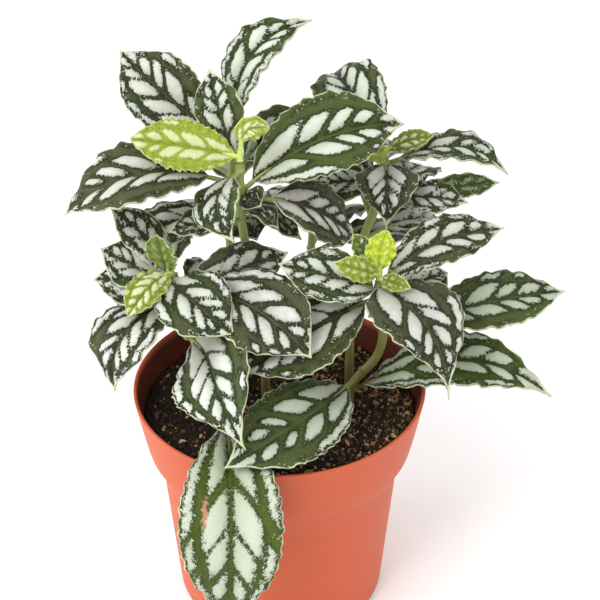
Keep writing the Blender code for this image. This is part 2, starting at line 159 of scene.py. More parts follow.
# Cross veins and silver patches, in millimetres and in shares of the blade's length or half width
VEIN_STARTS = (-0.1, 0.24, 0.45, 0.63, 0.79, 1.05)
VEIN_SCATTER = 0.03
VEIN_SLANT = 1.05
VEIN_BEND = 0.02
VEIN_HALF_GAP = 1.1
RIB_HALF_GAP = 0.95
RIB_GAP_SPREAD = (-0.1, 0.6)
FULL_LENGTH = 58.0
SCALE_LIMITS = (0.5, 1.1)
INNER_REACH = 0.56
INNER_REACH_SPREAD = (-0.1, 0.06)
TIP_REACH = 0.84
OUTER_LIMITS = (0.74, 0.93)
OUTER_SHRINK = (0, 0.5)
MISSING_PATCH = 2.0
FAR_OUTSIDE = -4.0

# Dry spots and the look's scatter
BLEMISH_HALF_LENGTH = 5.0
BLEMISH_HALF_WIDTH = 1.0
BEYOND_TIP = (2.0, 0.0)
FRESH_SCATTER = 0.08
ANY_TURN = 6.28
UV_PER_METRE = 100
UV_SCATTER = 50

# The camera and the floor
SENSOR_WIDTH = 36.0
FLOOR_DROP = 0.0002

# Colours that vary those of the settings
MOTTLE = (0.080, 0.086, 0.028)
# Brown-tinted green: partly the leaf's own colour, partly painted shade on leaves deep in the plant
BROWN_AND_SHADE_GREEN = (0.030, 0.020, 0.013)
SILVER_GREY = (0.47, 0.50, 0.43)
SILVER_FRESH = (0.56, 0.64, 0.46)
# Silver in painted shade, near the midrib and the blade's base
SILVER_SHADED = (0.33, 0.325, 0.30)
SILVER_SHADED_FRESH = (0.33, 0.37, 0.23)
# Brown-tinted and dimmed silver: partly the leaf's own colour, partly painted shade on shaded leaves
SILVER_BROWN_AND_SHADE = (0.34, 0.27, 0.25)
SILVER_DIMMED = (0.24, 0.28, 0.17)
# Painted shade along the patches' sunken borders
PATCH_BORDER_SHADE = (0.008, 0.012, 0.004)
# Painted sheen on the green ridges between the patches
VEIN_SHEEN = (0.094, 0.102, 0.060)
VEIN_SHEEN_FRESH = (0.088, 0.120, 0.018)
RIB = (0.12, 0.14, 0.05)
DRY_LIGHT = (0.70, 0.36, 0.22)
DRY_DARK = (0.12, 0.06, 0.02)
BACK_PATCH = (0.21, 0.23, 0.15)
BACK_FLUSH = (0.14, 0.08, 0.07)
BACK_RIB = (0.30, 0.32, 0.18)
MARGIN_GREEN = (0.12, 0.15, 0.06)
YOUNG_LIME = (0.58, 0.68, 0.03)
YOUNG_DARK = (0.05, 0.075, 0.02)
YOUNG_NET = (0.10, 0.15, 0.010)
YOUNG_PATCH = (0.68, 0.74, 0.44)
YOUNG_RIB = (0.14, 0.22, 0.015)
YOUNG_MARGIN = (0.60, 0.70, 0.24)
YOUNG_BACK_DARK = (0.42, 0.56, 0.10)
YOUNG_BACK_LIGHT = (0.58, 0.70, 0.20)
STEM_STREAK = (0.32, 0.35, 0.07)
POT_CLOUD = (0.55, 0.118, 0.047)
POT_SCUFF = (0.72, 0.27, 0.15)
# Painted shade of the pot's inner wall
POT_SHADE = (0.055, 0.015, 0.010)
SOIL_LIGHT = (0.045, 0.028, 0.018)
SOIL_BIT = (0.12, 0.06, 0.035)
CRUMB_GRAIN = (0.05, 0.03, 0.02)
FLOOR_CLOUD = (0.93, 0.93, 0.93)


class Kind(NamedTuple):
    """What sets full-grown leaves and young ones apart: teeth, mesh, drawn-out tip and material slot."""

    tooth_pitch: float
    tooth_depth: float
    station_share: float
    point_pinch: float
    slot: str


GROWN = Kind(0.0045, 0.026, 1.0, 0.8, "leaf")
YOUNG = Kind(0.0023, 0.058, 0.5, 0.3, "young_leaf")


class Row(NamedTuple):
    """One row of patches: how its gaps and its places vary, and how round its patches' corners are."""

    gap_spread: tuple
    shift: float
    corner: float


INNER_ROW = Row((0, 0.45), 0.06, 0.8)
OUTER_ROW = Row((-0.3, 0.8), 0.3, 0.5)


class Look(NamedTuple):
    """How one leaf differs from the others.

    These are its freshness of green, the brightness of its silver, its share of outer patches,
    its brown tint, a dry spot given by its share of the blade's length and of its half width,
    how wide the green between its patches is, and how far they are worn into each other.
    The freshness, silver brightness and brown tint are partly the leaf's own colour and partly
    painted shade: leaves in shade deep in the plant get less freshness, dimmer silver and more brown.
    """

    fresh: float = 0.3
    silver: float = 1.0
    outer: float = 0.55
    brown: float = 0.1
    blemish: tuple[float, float] | None = None
    gap: float = 1.1
    worn: float = 0.0


class Leaf(NamedTuple):
    """One leaf. Its root is where its stalk leaves the stem, its tip where its blade ends.

    face is the way its upper side looks, stalk the length without a blade, arch how far the
    centre line rises at a third and at two thirds, sway how far it bows sideways, fold how far
    the two halves rise from the midrib, and widest where along the blade it is widest. Arch and
    sway are shares of the leaf's length.
    """

    name: str
    root: tuple
    tip: tuple
    width: float
    face: tuple
    stalk: float
    arch: tuple
    sway: float = 0.0
    fold: float = 0.22
    widest: float = WIDEST_AT


class Shoot(NamedTuple):
    """A stem, as the points that it runs through, and the leaves that it carries."""

    name: str
    stem: tuple
    leaves: tuple


SHOOT_LEFT_HIGH_LEAVES = (
    Leaf("long_left", (-14.5, 6, 193), (-81, -8, 188), 37, (0.0, -0.15, 1.0), 12, (0.22, 0.3)),
    Leaf(
        "long_right", (-14.5, 6, 190), (49, 26, 209), 34, (0.0, -0.55, 0.83), 6, (0.12, 0.15), -0.08, 0.45,
    ),
    Leaf(
        "front_drooping", (-14.5, 5, 200), (-16, -20, 183), 21.5, (-0.5, -0.7, 0.4), 4,
        (0.25, 0.5), 0.14, 0.22, 0.45,
    ),
    Leaf("upright", (-14.5, 6, 201), (-26, 22, 235), 19, (-0.2, -0.9, 0.4), 4, (0.0, 0.0), -0.04),
    Leaf("lower_left", (-14.5, 6, 178), (-42, -6, 179), 14, (-0.1, -0.3, 0.9), 8, (0.1, 0.25), -0.1),
    Leaf("lower_front", (-14.5, 6, 180.5), (0, 0, 177), 11, (0.1, -0.1, 1.0), 3, (0.35, 0.4)),
    Leaf("shaded_right", (-14, 7, 187), (30, 18, 161.5), 27, (0.1, -0.45, 0.9), 10, (0.25, 0.2)),
    Leaf("small_right", (-14.5, 6, 189), (-6.6, 0, 187), 12, (0.0, -0.5, 0.85), 1, (0.3, 0.3)),
)
SHOOT_REAR_LEAVES = (
    Leaf("tall_left", (-18, 31, 198), (-62, 44, 232), 29, (0.1, -0.85, 0.5), 10, (0.05, 0.1), -0.06),
    Leaf("tall_right", (-18, 31, 198), (13, 52, 241), 23, (-0.7, -0.6, 0.3), 8, (0.27, 0.44), -0.05, 0.4),
    Leaf("behind_right", (-18, 31, 182), (14, 50, 200), 21, (0.0, -0.5, 0.85), 8, (0.12, 0.15), -0.1),
    Leaf("back_left", (-19, 31, 184), (-64, 52, 174), 26, (0.0, -0.1, 1.0), 10, (0.2, 0.2)),
    Leaf("back", (-19, 32, 170), (-22, 84, 158), 28, (0.0, 0.3, 1.0), 10, (0.25, 0.25)),
    Leaf("lower_left", (-19, 30, 166), (-60, 12, 158), 24, (0.0, -0.2, 1.0), 10, (0.2, 0.25)),
    Leaf("low_back", (-20, 31, 150), (-42, 80, 138), 28, (-0.1, 0.3, 1.0), 12, (0.25, 0.25)),
    Leaf("front_right", (-19, 30, 164), (-8.6, 12, 164.5), 18, (0.1, -0.4, 0.9), 5, (0.2, 0.25)),
    Leaf("low_right", (-19, 31, 175), (9, 14, 163.5), 9.5, (0.1, -0.5, 0.9), 12, (0.1, 0.15)),
)
SHOOT_RIGHT_HIGH_LEAVES = (
    Leaf("upright_back", (42, 45, 182), (22.5, 86, 201), 29, (0.0, -0.75, 0.65), 6, (0.25, 0.5), 0.0, 0.5),
    Leaf("right", (43, 45, 181), (92, 34, 182), 19, (0.1, -0.2, 1.0), 6, (0.17, 0.42), 0.0, 0.3),
    Leaf("front", (43, 44, 182), (43, 22, 162.5), 25.5, (0.0, -0.7, 0.7), 2, (0.3, 0.8), 0.0, 0.2, 0.36),
    Leaf("right_below", (40, 42, 168), (92, 58, 164.5), 11.5, (0.1, -0.5, 0.85), 16, (0.0, 0.14), 0.05),
    Leaf("right_front", (40, 42, 167), (76, 27, 173), 17, (0.0, -0.4, 0.9), 8, (0.1, 0.14), 0.05),
    Leaf("left", (41, 43, 172), (13, 42, 171), 20, (0.0, -0.5, 0.85), 4, (0.2, 0.2)),
    Leaf("back_right", (38, 39, 158), (66, 80, 158), 26, (0.0, 0.2, 1.0), 10, (0.2, 0.25)),
    Leaf("back_left", (38, 39, 158), (14, 88, 166), 26, (0.0, 0.2, 1.0), 10, (0.2, 0.25)),
    Leaf("low_back", (35, 34, 152), (74, 56, 140), 26, (0.1, 0.1, 1.0), 10, (0.2, 0.25)),
    Leaf("back", (43, 45, 178), (50, 86, 166), 24, (0.0, 0.3, 0.9), 8, (0.15, 0.2)),
)
SHOOT_RIGHT_FRONT_LEAVES = (
    Leaf("right", (39, -7.5, 154), (88, 4, 175), 21.5, (0.0, -0.4, 0.9), 5, (0.37, 0.24)),
    Leaf("left", (39, -7.5, 152), (0, -14, 170), 22, (0.0, -0.6, 0.8), 5, (0.42, 0.08), -0.05),
    Leaf(
        "front_right", (39, -9, 156.5), (65, -46, 129), 36, (0.3, -0.55, 0.8), 1,
        (0.3, 0.5), 0.0, 0.2, 0.35,
    ),
    Leaf("long_left", (40, -6, 150), (-15, -40, 137), 33, (-0.2, -0.6, 0.8), 8, (0.12, 0.02)),
    Leaf("low_right", (41, -3, 134), (114, 4, 145.5), 26, (0.0, -0.4, 0.9), 16, (0.1, 0.17), 0.06),
    Leaf("short_right", (41, -3, 144), (68, 14, 148), 20, (0.0, -0.4, 0.9), 6, (0.1, 0.1)),
    Leaf("low_front", (34, 2, 108), (-20, -66, 112), 32.5, (0.0, -0.6, 0.8), 18.5, (0.12, 0.15), -0.07),
    Leaf("lowest_right", (31, 3, 98), (110, -12, 105), 27, (0.0, -0.3, 0.95), 5, (0.24, 0.47)),
)
SHOOT_LEFT_FRONT_LEAVES = (
    Leaf("back_left", (-42, -6, 157), (-66, 10, 181), 16, (0.0, -0.6, 0.8), 3, (0.14, 0.0), 0.1),
    Leaf("left", (-42, -6, 154), (-69, -3, 170), 21, (-0.1, -0.5, 0.85), 3, (0.08, 0.0)),
    Leaf("left_below", (-41, -6, 150), (-72, -8, 159), 21, (-0.1, -0.5, 0.85), 4, (0.17, 0.18)),
    Leaf("drooping_left", (-41, -8, 152), (-63, -36, 126), 30, (-0.5, -0.5, 0.7), 4, (0.15, 0.55)),
    Leaf("front", (-42, -7, 158), (-16.3, -36, 152), 29, (0.1, -0.6, 0.8), 1, (0.3, 0.2), 0.1),
    Leaf("back_right", (-41, -6, 153), (3.7, 2, 165.2), 22, (0.0, -0.6, 0.8), 6, (0.18, 0.14), 0.08),
    Leaf("long_right", (-41.2, -3.5, 153), (12.7, -41, 145), 34, (0.1, -0.6, 0.8), 16, (0.14, 0.18), -0.09),
    Leaf(
        "low_front", (-36, -9.5, 133), (-12, -63, 118), 37, (-0.45, -0.65, 0.65), 5,
        (0.06, 0.43), -0.15, 0.22, 0.43,
    ),
    Leaf(
        "hanging", (-20.5, -20, 102), (-21, -71, 33), 39.5, (0.0, -0.9, 0.4), 3,
        (0.85, 0.45), -0.05, 0.2, 0.46,
    ),
)
SHOOT_BACK_MIDDLE_LEAVES = (
    Leaf("back", (13, 49, 138), (36, 98, 124), 30, (0.0, 0.4, 0.9), 8, (0.2, 0.25)),
    Leaf("right", (13, 48, 136), (68, 66, 124), 28, (0.2, 0.2, 1.0), 10, (0.2, 0.25)),
    Leaf("left", (14, 50, 148), (-18, 82, 138), 26, (-0.2, 0.3, 0.9), 10, (0.2, 0.25)),
    Leaf("upper_back", (14, 50, 150), (34, 86, 152), 24, (0.1, 0.3, 0.9), 8, (0.2, 0.25)),
)
SHOOT_BACK_LEFT_LEAVES = (
    Leaf("left", (-44, 32, 133), (-76, 46, 122), 26, (-0.3, 0.1, 1.0), 6, (0.2, 0.25)),
    Leaf("back", (-44, 32, 134), (-56, 78, 118), 28, (-0.1, 0.3, 0.9), 8, (0.2, 0.25)),
    Leaf("front_left", (-43, 31, 130), (-66, 16, 112), 22, (-0.3, -0.2, 0.9), 6, (0.25, 0.25)),
    Leaf("back_right", (-43, 31, 127), (-20, 66, 110), 26, (0.2, 0.4, 0.9), 8, (0.2, 0.25)),
)
GROWING_TIP_LEFT_HIGH_LEAVES = (
    Leaf("broad", (-14.5, 5, 206), (-55, -1, 217), 20, (0.0, -0.7, 0.7), 2, (0.1, 0.05)),
    Leaf("curled", (-14, 6, 208.5), (-3, 8, 216.5), 10, (0.2, -0.9, 0.3), 2, (0.2, 0.2), -0.5),
)
GROWING_TIP_RIGHT_HIGH_LEAVES = (
    Leaf("right", (43.5, 45, 187), (62, 41, 196), 9, (0.0, -0.6, 0.8), 1, (0.15, 0.1)),
    Leaf("left", (43.5, 45, 187), (34, 38, 190), 11, (0.0, -0.8, 0.6), 1, (0.2, 0.1)),
)
GROWING_TIP_RIGHT_FRONT_LEAVES = (
    Leaf("upright", (39.3, -8, 162), (42, -6, 180), 12, (0.1, -0.9, 0.4), 1, (0.1, 0.0), -0.1),
    Leaf("left", (39.3, -8.5, 161), (21.5, -20, 174), 10, (0.0, -0.8, 0.6), 2, (0.1, 0.1)),
    Leaf("back", (39.3, -7, 161), (29, -2, 176), 9, (0.0, -0.8, 0.6), 2, (0.1, 0.1)),
    Leaf("right", (39.3, -9, 160), (50.5, -22, 164), 7, (0.0, -0.8, 0.6), 1, (0.1, 0.1)),
)
GROWING_TIP_LEFT_FRONT_LEAVES = (
    Leaf("upright", (-42.2, -7.4, 162), (-46, -11, 181), 14, (-0.5, -0.8, 0.3), 1, (0.1, 0.0)),
    Leaf("drooping", (-42.2, -7.8, 162), (-57, -28.5, 155.5), 14.5, (-0.3, -0.7, 0.7), 1, (0.2, 0.2)),
)

SHOOTS = (
    Shoot(
        "shoot_left_high",
        ((-6, 10, 98), (-11, 9, 150), (-14.5, 6, 180), (-14.5, 5.5, 203)),
        SHOOT_LEFT_HIGH_LEAVES,
    ),
    Shoot(
        "shoot_rear",
        ((-14, 22, 98), (-20, 30, 140), (-19, 31, 180), (-18, 31, 201)),
        SHOOT_REAR_LEAVES,
    ),
    Shoot(
        "shoot_right_high",
        ((29, 14, 98), (31, 28, 140), (41, 43, 170), (43, 45, 184)),
        SHOOT_RIGHT_HIGH_LEAVES,
    ),
    Shoot(
        "shoot_right_front",
        ((29, 2, 98), (40.5, 1, 118), (41, -3, 140), (39, -8, 158)),
        SHOOT_RIGHT_FRONT_LEAVES,
    ),
    Shoot(
        "shoot_left_front",
        ((-21, -20, 98), (-31, -12, 125), (-40, -7, 150), (-42, -6.5, 159)),
        SHOOT_LEFT_FRONT_LEAVES,
    ),
    Shoot(
        "shoot_back_middle",
        ((6, 32, 98), (12, 46, 128), (14, 50, 152)),
        SHOOT_BACK_MIDDLE_LEAVES,
    ),
    Shoot(
        "shoot_back_left",
        ((-28, 16, 98), (-40, 28, 118), (-44, 32, 136)),
        SHOOT_BACK_LEFT_LEAVES,
    ),
)

GROWING_TIPS = (
    Shoot(
        "growing_tip_left_high",
        ((-14.5, 5.3, 204.3), (-14.5, 5.3, 209)),
        GROWING_TIP_LEFT_HIGH_LEAVES,
    ),
    Shoot(
        "growing_tip_right_high",
        ((43.4, 45, 185), (43.5, 45, 189)),
        GROWING_TIP_RIGHT_HIGH_LEAVES,
    ),
    Shoot(
        "growing_tip_right_front",
        ((39.1, -8.3, 159.2), (39.5, -8.4, 164)),
        GROWING_TIP_RIGHT_FRONT_LEAVES,
    ),
    Shoot(
        "growing_tip_left_front",
        ((-42, -6.8, 160.3), (-42.2, -7.2, 164.5)),
        GROWING_TIP_LEFT_FRONT_LEAVES,
    ),
)

# Per leaf; the low freshness, dimmer silver and brown tint of leaves deep in the plant are in part painted
# shade
LOOKS = {
    "shoot_left_high": {
        "long_left": Look(0.25, 0.85, 0.2, 0.3, gap=1.4),
        "long_right": Look(0.6, 0.95, 0.2, gap=1.2),
        "front_drooping": Look(0.4, 1.0, 0.4, gap=1.4),
        "upright": Look(0.45, 1.0, 0.4),
        "shaded_right": Look(0.0, 0.8, 0.35, 1.0, gap=1.2),
        "small_right": Look(0.1, 0.7, 0.3, 0.5),
        "lower_front": Look(0.4, 0.7, 0.2, 0.2),
        "lower_left": Look(0.4, 0.8, 0.3),
    },
    "shoot_rear": {
        "tall_left": Look(0.3, 0.95, 0.6, gap=1.0),
        "tall_right": Look(0.5, 1.0, 0.7, gap=1.0),
        "behind_right": Look(0.5, 0.5, 0.2),
        "front_right": Look(0.0, 0.3, 0.2, 1.0),
        "low_right": Look(0.6, 0.5, 0.3),
    },
    "shoot_right_high": {
        "upright_back": Look(0.45, 0.95, 0.5),
        "front": Look(0.2, 1.0, 0.15, gap=1.4),
        "right": Look(0.3, 0.7, 0.6),
        "right_below": Look(1.0, 0.0, 0.6, 0.1, worn=0.8),
        "right_front": Look(0.3, 0.85, 0.6, 0.4),
    },
    "shoot_right_front": {
        "right": Look(0.15, 0.85, 0.6, 0.2),
        "left": Look(0.3, 0.9, 0.6),
        "front_right": Look(0.1, 0.85, 0.55, 0.3, gap=1.25),
        "long_left": Look(0.3, 1.0, 0.8, 0.1, gap=0.95),
        "low_right": Look(0.5, 0.45, 0.4, 0.0, gap=1.05),
        "low_front": Look(0.5, 0.65, 0.3, 0.0, gap=1.4),
        "lowest_right": Look(0.8, 0.7, 0.6, gap=0.95),
    },
    "shoot_left_front": {
        "front": Look(0.4, 1.0, 0.7, gap=1.35),
        "back_right": Look(0.0, 0.7, 0.3, 0.9),
        "long_right": Look(0.2, 0.97, 0.5, 0.6, gap=1.25),
        "low_front": Look(0.35, 1.0, 0.8, gap=0.92),
        "drooping_left": Look(0.2, 0.97, 0.7, gap=1.3),
        "hanging": Look(1.0, 0.75, 0.9, 0.1, (0.4, 0.5), worn=1.1),
    },
    "growing_tip_left_high": {
        "broad": Look(0.49, 0.7, 0.3),
        "curled": Look(0.42, 1.0, 0.9, gap=0.7),
    },
    "growing_tip_right_high": {
        "right": Look(0.2, 0.8, 0.5),
        "left": Look(0.3, 0.3, 0.2),
    },
    "growing_tip_right_front": {
        "upright": Look(1.0, 0.3, 0.1),
        "left": Look(0.38, 0.5, 0.6),
        "back": Look(0.0, 0.9, 0.4),
        "right": Look(0.2, 0.8, 0.5),
    },
    "growing_tip_left_front": {
        "upright": Look(0.1, 0.2, 0.2),
        "drooping": Look(0.35, 0.9, 0.9),
    },
}
USUAL_LOOK = Look()


def colour_value(name, description, default):
    """A setting that is a colour."""
    return FloatVectorProperty(name=name, description=description, default=default, subtype="COLOR")


def length_value(name, description, default, least=0.0):
    """A setting that is a length, in metres."""
    return FloatProperty(name=name, description=description, default=default, min=least, unit="LENGTH")


def power_value(name, description, default):
    """A setting that is a lamp's power, in watts."""
    return FloatProperty(name=name, description=description, default=default, min=0.0, unit="POWER")


class PlantSettings(bpy.types.PropertyGroup):
    """Sizes and colours of the plant that a user may change before making its pieces."""

    station_spacing: length_value(
        "Station spacing", "Distance between the cross rows of a blade's mesh", 0.0011, 0.0004,
    )
    blade_thickness: length_value("Blade thickness", "Thickness of a leaf blade", 0.0006, 0.0002)
    patch_height: length_value("Patch height", "How far the silver patches bulge from the blade", 0.0008)
    ruffle: length_value("Ruffle", "How far a blade's margin waves up and down", 0.0008)
    green_dark: colour_value(
        "Dark green", "Colour of the shaded and older blades between their patches", (0.020, 0.026, 0.009),
    )
    green_fresh: colour_value(
        "Fresh green", "Colour of the brightest grown blades between their patches", (0.036, 0.060, 0.008),
    )
    silver: colour_value("Silver", "Colour of the patches", (0.72, 0.745, 0.70))
    margin: colour_value("Margin", "Colour of the thin pale margin of a blade", (0.55, 0.60, 0.40))
    underside: colour_value(
        "Underside", "Colour of the lower side of a full-grown blade", (0.16, 0.19, 0.10),
    )
    young_green: colour_value(
        "Young green", "Colour of the leaves at the growing tips", (0.50, 0.60, 0.035),
    )
    stem_green: colour_value("Stem green", "Colour of young stems and leaf stalks", (0.19, 0.24, 0.07))
    stem_brown: colour_value("Stem brown", "Colour of the older foot of a stem", (0.17, 0.11, 0.045))
    terracotta: colour_value("Pot colour", "Colour of the pot's plastic", (0.475, 0.084, 0.031))
    soil_dark: colour_value("Soil colour", "Colour of the damp potting mix", (0.012, 0.008, 0.006))
    crumb_light: colour_value("Crumb colour", "Colour of the lightest bark crumbs", (0.90, 0.52, 0.25))
    pot_sides: IntProperty(
        name="Pot sides",
        description="Number of sides of the pot's round shape",
        default=176,
        min=24,
    )
    crumbs: IntProperty(
        name="Crumbs",
        description="Number of loose crumbs on the soil",
        default=7200,
        min=0,
    )


class StageSettings(bpy.types.PropertyGroup):
    """The camera, floor and lights that the plant is shown with."""

    camera_place: FloatVectorProperty(
        name="Camera place",
        description="Where the camera stands",
        subtype="TRANSLATION",
        default=(0.0084, -0.5627, 0.5194),
        precision=4,
    )
    camera_aim: FloatVectorProperty(
        name="Camera aim",
        description="The point at the centre of the picture",
        subtype="TRANSLATION",
        default=(0.0084, 0.0, 0.144),
        precision=4,
    )
    focal_length: FloatProperty(
        name="Focal length",
        description="Lens length on a sensor 36 mm wide",
        default=102.06,
        unit="CAMERA",
    )
    floor_size: length_value("Floor size", "Side of the square floor", 8.0)
    floor_colour: colour_value("Floor colour", "Colour of the pale floor", (0.95, 0.95, 0.95))
    key_power: power_value("Key power", "Power of the large lamp at the upper left", 11.0)
    fill_power: power_value("Fill power", "Power of the large lamp at the right", 3.0)
    side_power: power_value("Side power", "Power of the low lamp at the left", 5.0)
    sky_strength: FloatProperty(
        name="Sky strength",
        description="Strength of the white light from all round",
        default=0.97,
    )


# Shaders


def wired(operation):
    """A method that adds a Math node, for a wire and what stands on its right."""
    return lambda self, other: self.shader.maths(operation, self, other)


def reflected(operation):
    """The same for a number on the wire's left."""
    return lambda self, other: self.shader.maths(operation, other, self)


class Wire:
    """An output socket that adds Math nodes when it is used in a sum."""

    def __init__(self, shader, socket):
        self.shader = shader
        self.socket = socket

    __add__ = wired("ADD")
    __radd__ = reflected("ADD")
    __sub__ = wired("SUBTRACT")
    __rsub__ = reflected("SUBTRACT")
    __mul__ = wired("MULTIPLY")
    __rmul__ = reflected("MULTIPLY")


class Shader:
    """A material whose nodes are added by short calls."""

    def __init__(self, name, roughness=0.5, **sockets):
        self.material = bpy.data.materials.new(name)
        self.material.use_nodes = True
        self.tree = self.material.node_tree
        self.surface = self.tree.nodes["Principled BSDF"]
        self.feed(self.surface, {"Roughness": roughness, **sockets})

    def feed(self, node, sockets):
        """Sets a node's sockets by name or number, each to a value or from a wire."""
        for key, value in sockets.items():
            if isinstance(value, Wire):
                self.tree.links.new(value.socket, node.inputs[key])
            else:
                node.inputs[key].default_value = value

    def add(self, kind, settings, sockets, output=0):
        """Adds a node, sets it up, feeds its sockets and returns one of its outputs as a wire."""
        node = self.tree.nodes.new("ShaderNode" + kind)
        for key, value in settings.items():
            setattr(node, key, value)
        self.feed(node, sockets)
        return Wire(self, node.outputs[output])

    def maths(self, operation, *values):
        return self.add("Math", {"operation": operation}, dict(enumerate(values)))

    def most(self, first, second):
        return self.maths("MAXIMUM", first, second)

    def step(self, value, low, high):
        """A smooth rise from 0 at low to 1 at high, or a smooth fall where high is the lesser."""
        settings = {"interpolation_type": "SMOOTHSTEP"}
        return self.add("MapRange", settings, {"Value": value, "From Min": low, "From Max": high})

    def mix(self, factor, first, second):
        """A colour between two, each given as a wire or as three numbers."""
        first, second = (c if isinstance(c, Wire) else (*c, 1.0) for c in (first, second))
        return self.add("Mix", {"data_type": "RGBA"}, {0: factor, 6: first, 7: second}, 2)

    def value(self, name):
        """A number that the mesh stores at each of its points."""
        return self.add("Attribute", {"attribute_name": name}, {}, "Fac")

    def places(self, uv=None):
        """Places over the surface: a UV map by name, or the piece's own space."""
        if uv:
            return self.add("UVMap", {"uv_map": uv}, {})
        return self.add("TexCoord", {}, {}, "Object")

    def stretched(self, places, scale):
        return self.add("VectorMath", {"operation": "MULTIPLY"}, {0: places, 1: scale})

    def noise(self, places, scale, detail=3.0, roughness=0.55):
        sockets = {"Vector": places, "Scale": scale, "Detail": detail, "Roughness": roughness}
        return self.add("TexNoise", {}, sockets, "Fac")

    def cells(self, places, scale, feature="F1"):
        return self.add("TexVoronoi", {"feature": feature}, {"Vector": places, "Scale": scale}, "Distance")

    def bump(self, height, strength, distance):
        sockets = {"Height": height, "Strength": strength, "Distance": distance}
        self.feed(self.surface, {"Normal": self.add("Bump", {}, sockets)})

    def paint(self, colour, roughness=None):
        self.feed(self.surface, {"Base Color": colour})
        if roughness is not None:
            self.feed(self.surface, {"Roughness": roughness})
        return self.material


def plant():
    """The plant's settings."""
    return bpy.context.scene.plant_settings


def silver_edge(shader, places, reach):
    """How deep a place lies in a silver patch, with toothed edges, and the finest noise in them."""
    veins = shader.add("CombineXYZ", {}, {0: shader.value("vein_along"), 1: shader.value("vein_across")})
    comb = shader.noise(shader.stretched(veins, (1.5, 0.3, 1.0)), 1.0, 2.0, 0.6)
    coarse = shader.noise(places, 7.0, 3.0, 0.6)
    fine = shader.noise(places, 28.0, 4.0, 0.65)
    ragged = (comb - 0.5) * 2.0 + (coarse - 0.5) * 2.4 + (fine - 0.5) * 1.8
    return shader.value("silver_depth") + ragged * reach, fine


def blade_face(s):
    """The upper side of a full-grown blade: silver patches on green, with specks, veins and a margin,
    painted shade at the patches' borders and within them, a painted sheen on the green between them, and
    per-leaf painted shade.
    """
    shader = Shader("leaf_upper", 0.45, **{"Specular IOR Level": 0.1})
    places = shader.places("blade")
    fresh, along = shader.value("fresh"), shader.value("along")
    from_rib, from_edge = shader.value("rib_distance"), shader.value("edge_distance")
    ragged, fine = silver_edge(shader, places, shader.value("worn") + 1.0)
    silver = shader.step(ragged, -0.2, 0.25)
    scattered = shader.step(shader.noise(places, 2.4, 1.0), 0.5, 0.58)
    dots = shader.step(shader.cells(places, 10.0), 0.34, 0.18) * scattered
    silver = shader.most(silver, dots * shader.step(from_edge, 4.5, 2.5))
    pits = shader.step(shader.cells(places, 30.0) + shader.noise(places, 9.0, 1.0) * 0.35, 0.2, 0.3)
    silver = silver * (pits * 0.4 + 0.6)
    mottled = shader.step(shader.noise(places, 14.0, 5.0, 0.7), 0.35, 0.75)
    # Painted shade in part: a low freshness darkens the green of shaded leaves towards the dark green
    green = shader.mix(fresh, s.green_dark, s.green_fresh)
    green = shader.mix(mottled * 0.35, green, MOTTLE)
    # The brown tint: partly the leaf's own purple-brown, partly painted shade
    brown = shader.value("brown") * shader.step(shader.noise(places, 3.5, 2.0), 0.25, 0.7)
    green = shader.mix(brown * 0.85, green, BROWN_AND_SHADE_GREEN)
    pale = shader.mix(shader.step(fine, 0.3, 0.62), SILVER_GREY, s.silver)
    # Painted shade within the patches: the silver greys towards the midrib, the blade's base and each
    # patch's edge, and stays brightest at patch centres
    outward = from_rib * 0.09 + along * 0.8
    outward = outward + shader.noise(places, 5.0, 2.0) * 0.5
    lit_crown = shader.step(ragged, 0.0, 2.4) * 0.4 + 0.6
    dull = 1.0 - shader.step(outward, 0.35, 1.45) * lit_crown
    pale = shader.mix(fresh * 0.5, pale, SILVER_FRESH)
    pale = shader.mix(dull * 0.8, pale, shader.mix(fresh, SILVER_SHADED, SILVER_SHADED_FRESH))
    pale = shader.mix(brown * 0.7, pale, SILVER_BROWN_AND_SHADE)
    # Silver dimmed per leaf: partly dimmer patches, partly painted shade on shaded leaves
    pale = shader.mix(shader.value("silver_tone"), SILVER_DIMMED, pale)
    # Painted shade: the green next to each patch's edge is darkened almost to black, as in the shadow of
    # the sunken border
    border_shade = shader.step(ragged, -1.2, -0.1)
    green = shader.mix(border_shade * 0.75, green, PATCH_BORDER_SHADE)
    # Painted sheen: the middle of each green band between patches, along its vein, is lightened as if its
    # ridge caught the light
    vein_sheen = 1.0 - shader.step(ragged, -2.2, -0.4)
    green = shader.mix(vein_sheen * (mottled * 0.6 + 0.35), green, shader.mix(fresh, VEIN_SHEEN, VEIN_SHEEN_FRESH))
    colour = shader.mix(silver, green, pale)
    rib = 1.0 - shader.step(from_rib, 0.1, 0.3)
    colour = shader.mix(rib * 0.4, colour, RIB)
    broken = shader.step(shader.noise(places, 2.0, 3.0, 0.6), 0.4, 0.62)
    tip = shader.step(along, 0.78, 1.0)
    edge = from_edge - broken * 0.45 - tip * 0.6 + (fine - 0.5) * 0.6
    edge = 1.0 - shader.step(edge, 0.0, 0.3)
    colour = shader.mix(edge * 0.85, colour, s.margin)
    uneven = shader.noise(places, 8.0, 3.0) * 2.4 - 1.2 + fine
    dry = shader.step(shader.value("blemish") + uneven, 0.75, 1.05)
    colour = shader.mix(dry, colour, shader.mix(fine, DRY_LIGHT, DRY_DARK))
    grain = shader.noise(places, 110.0, 2.0) * 0.4 + fine * 0.6
    shader.bump(grain + silver * 0.5, 0.45, 0.0004)
    return shader.paint(colour, 0.38 + fine * 0.2)


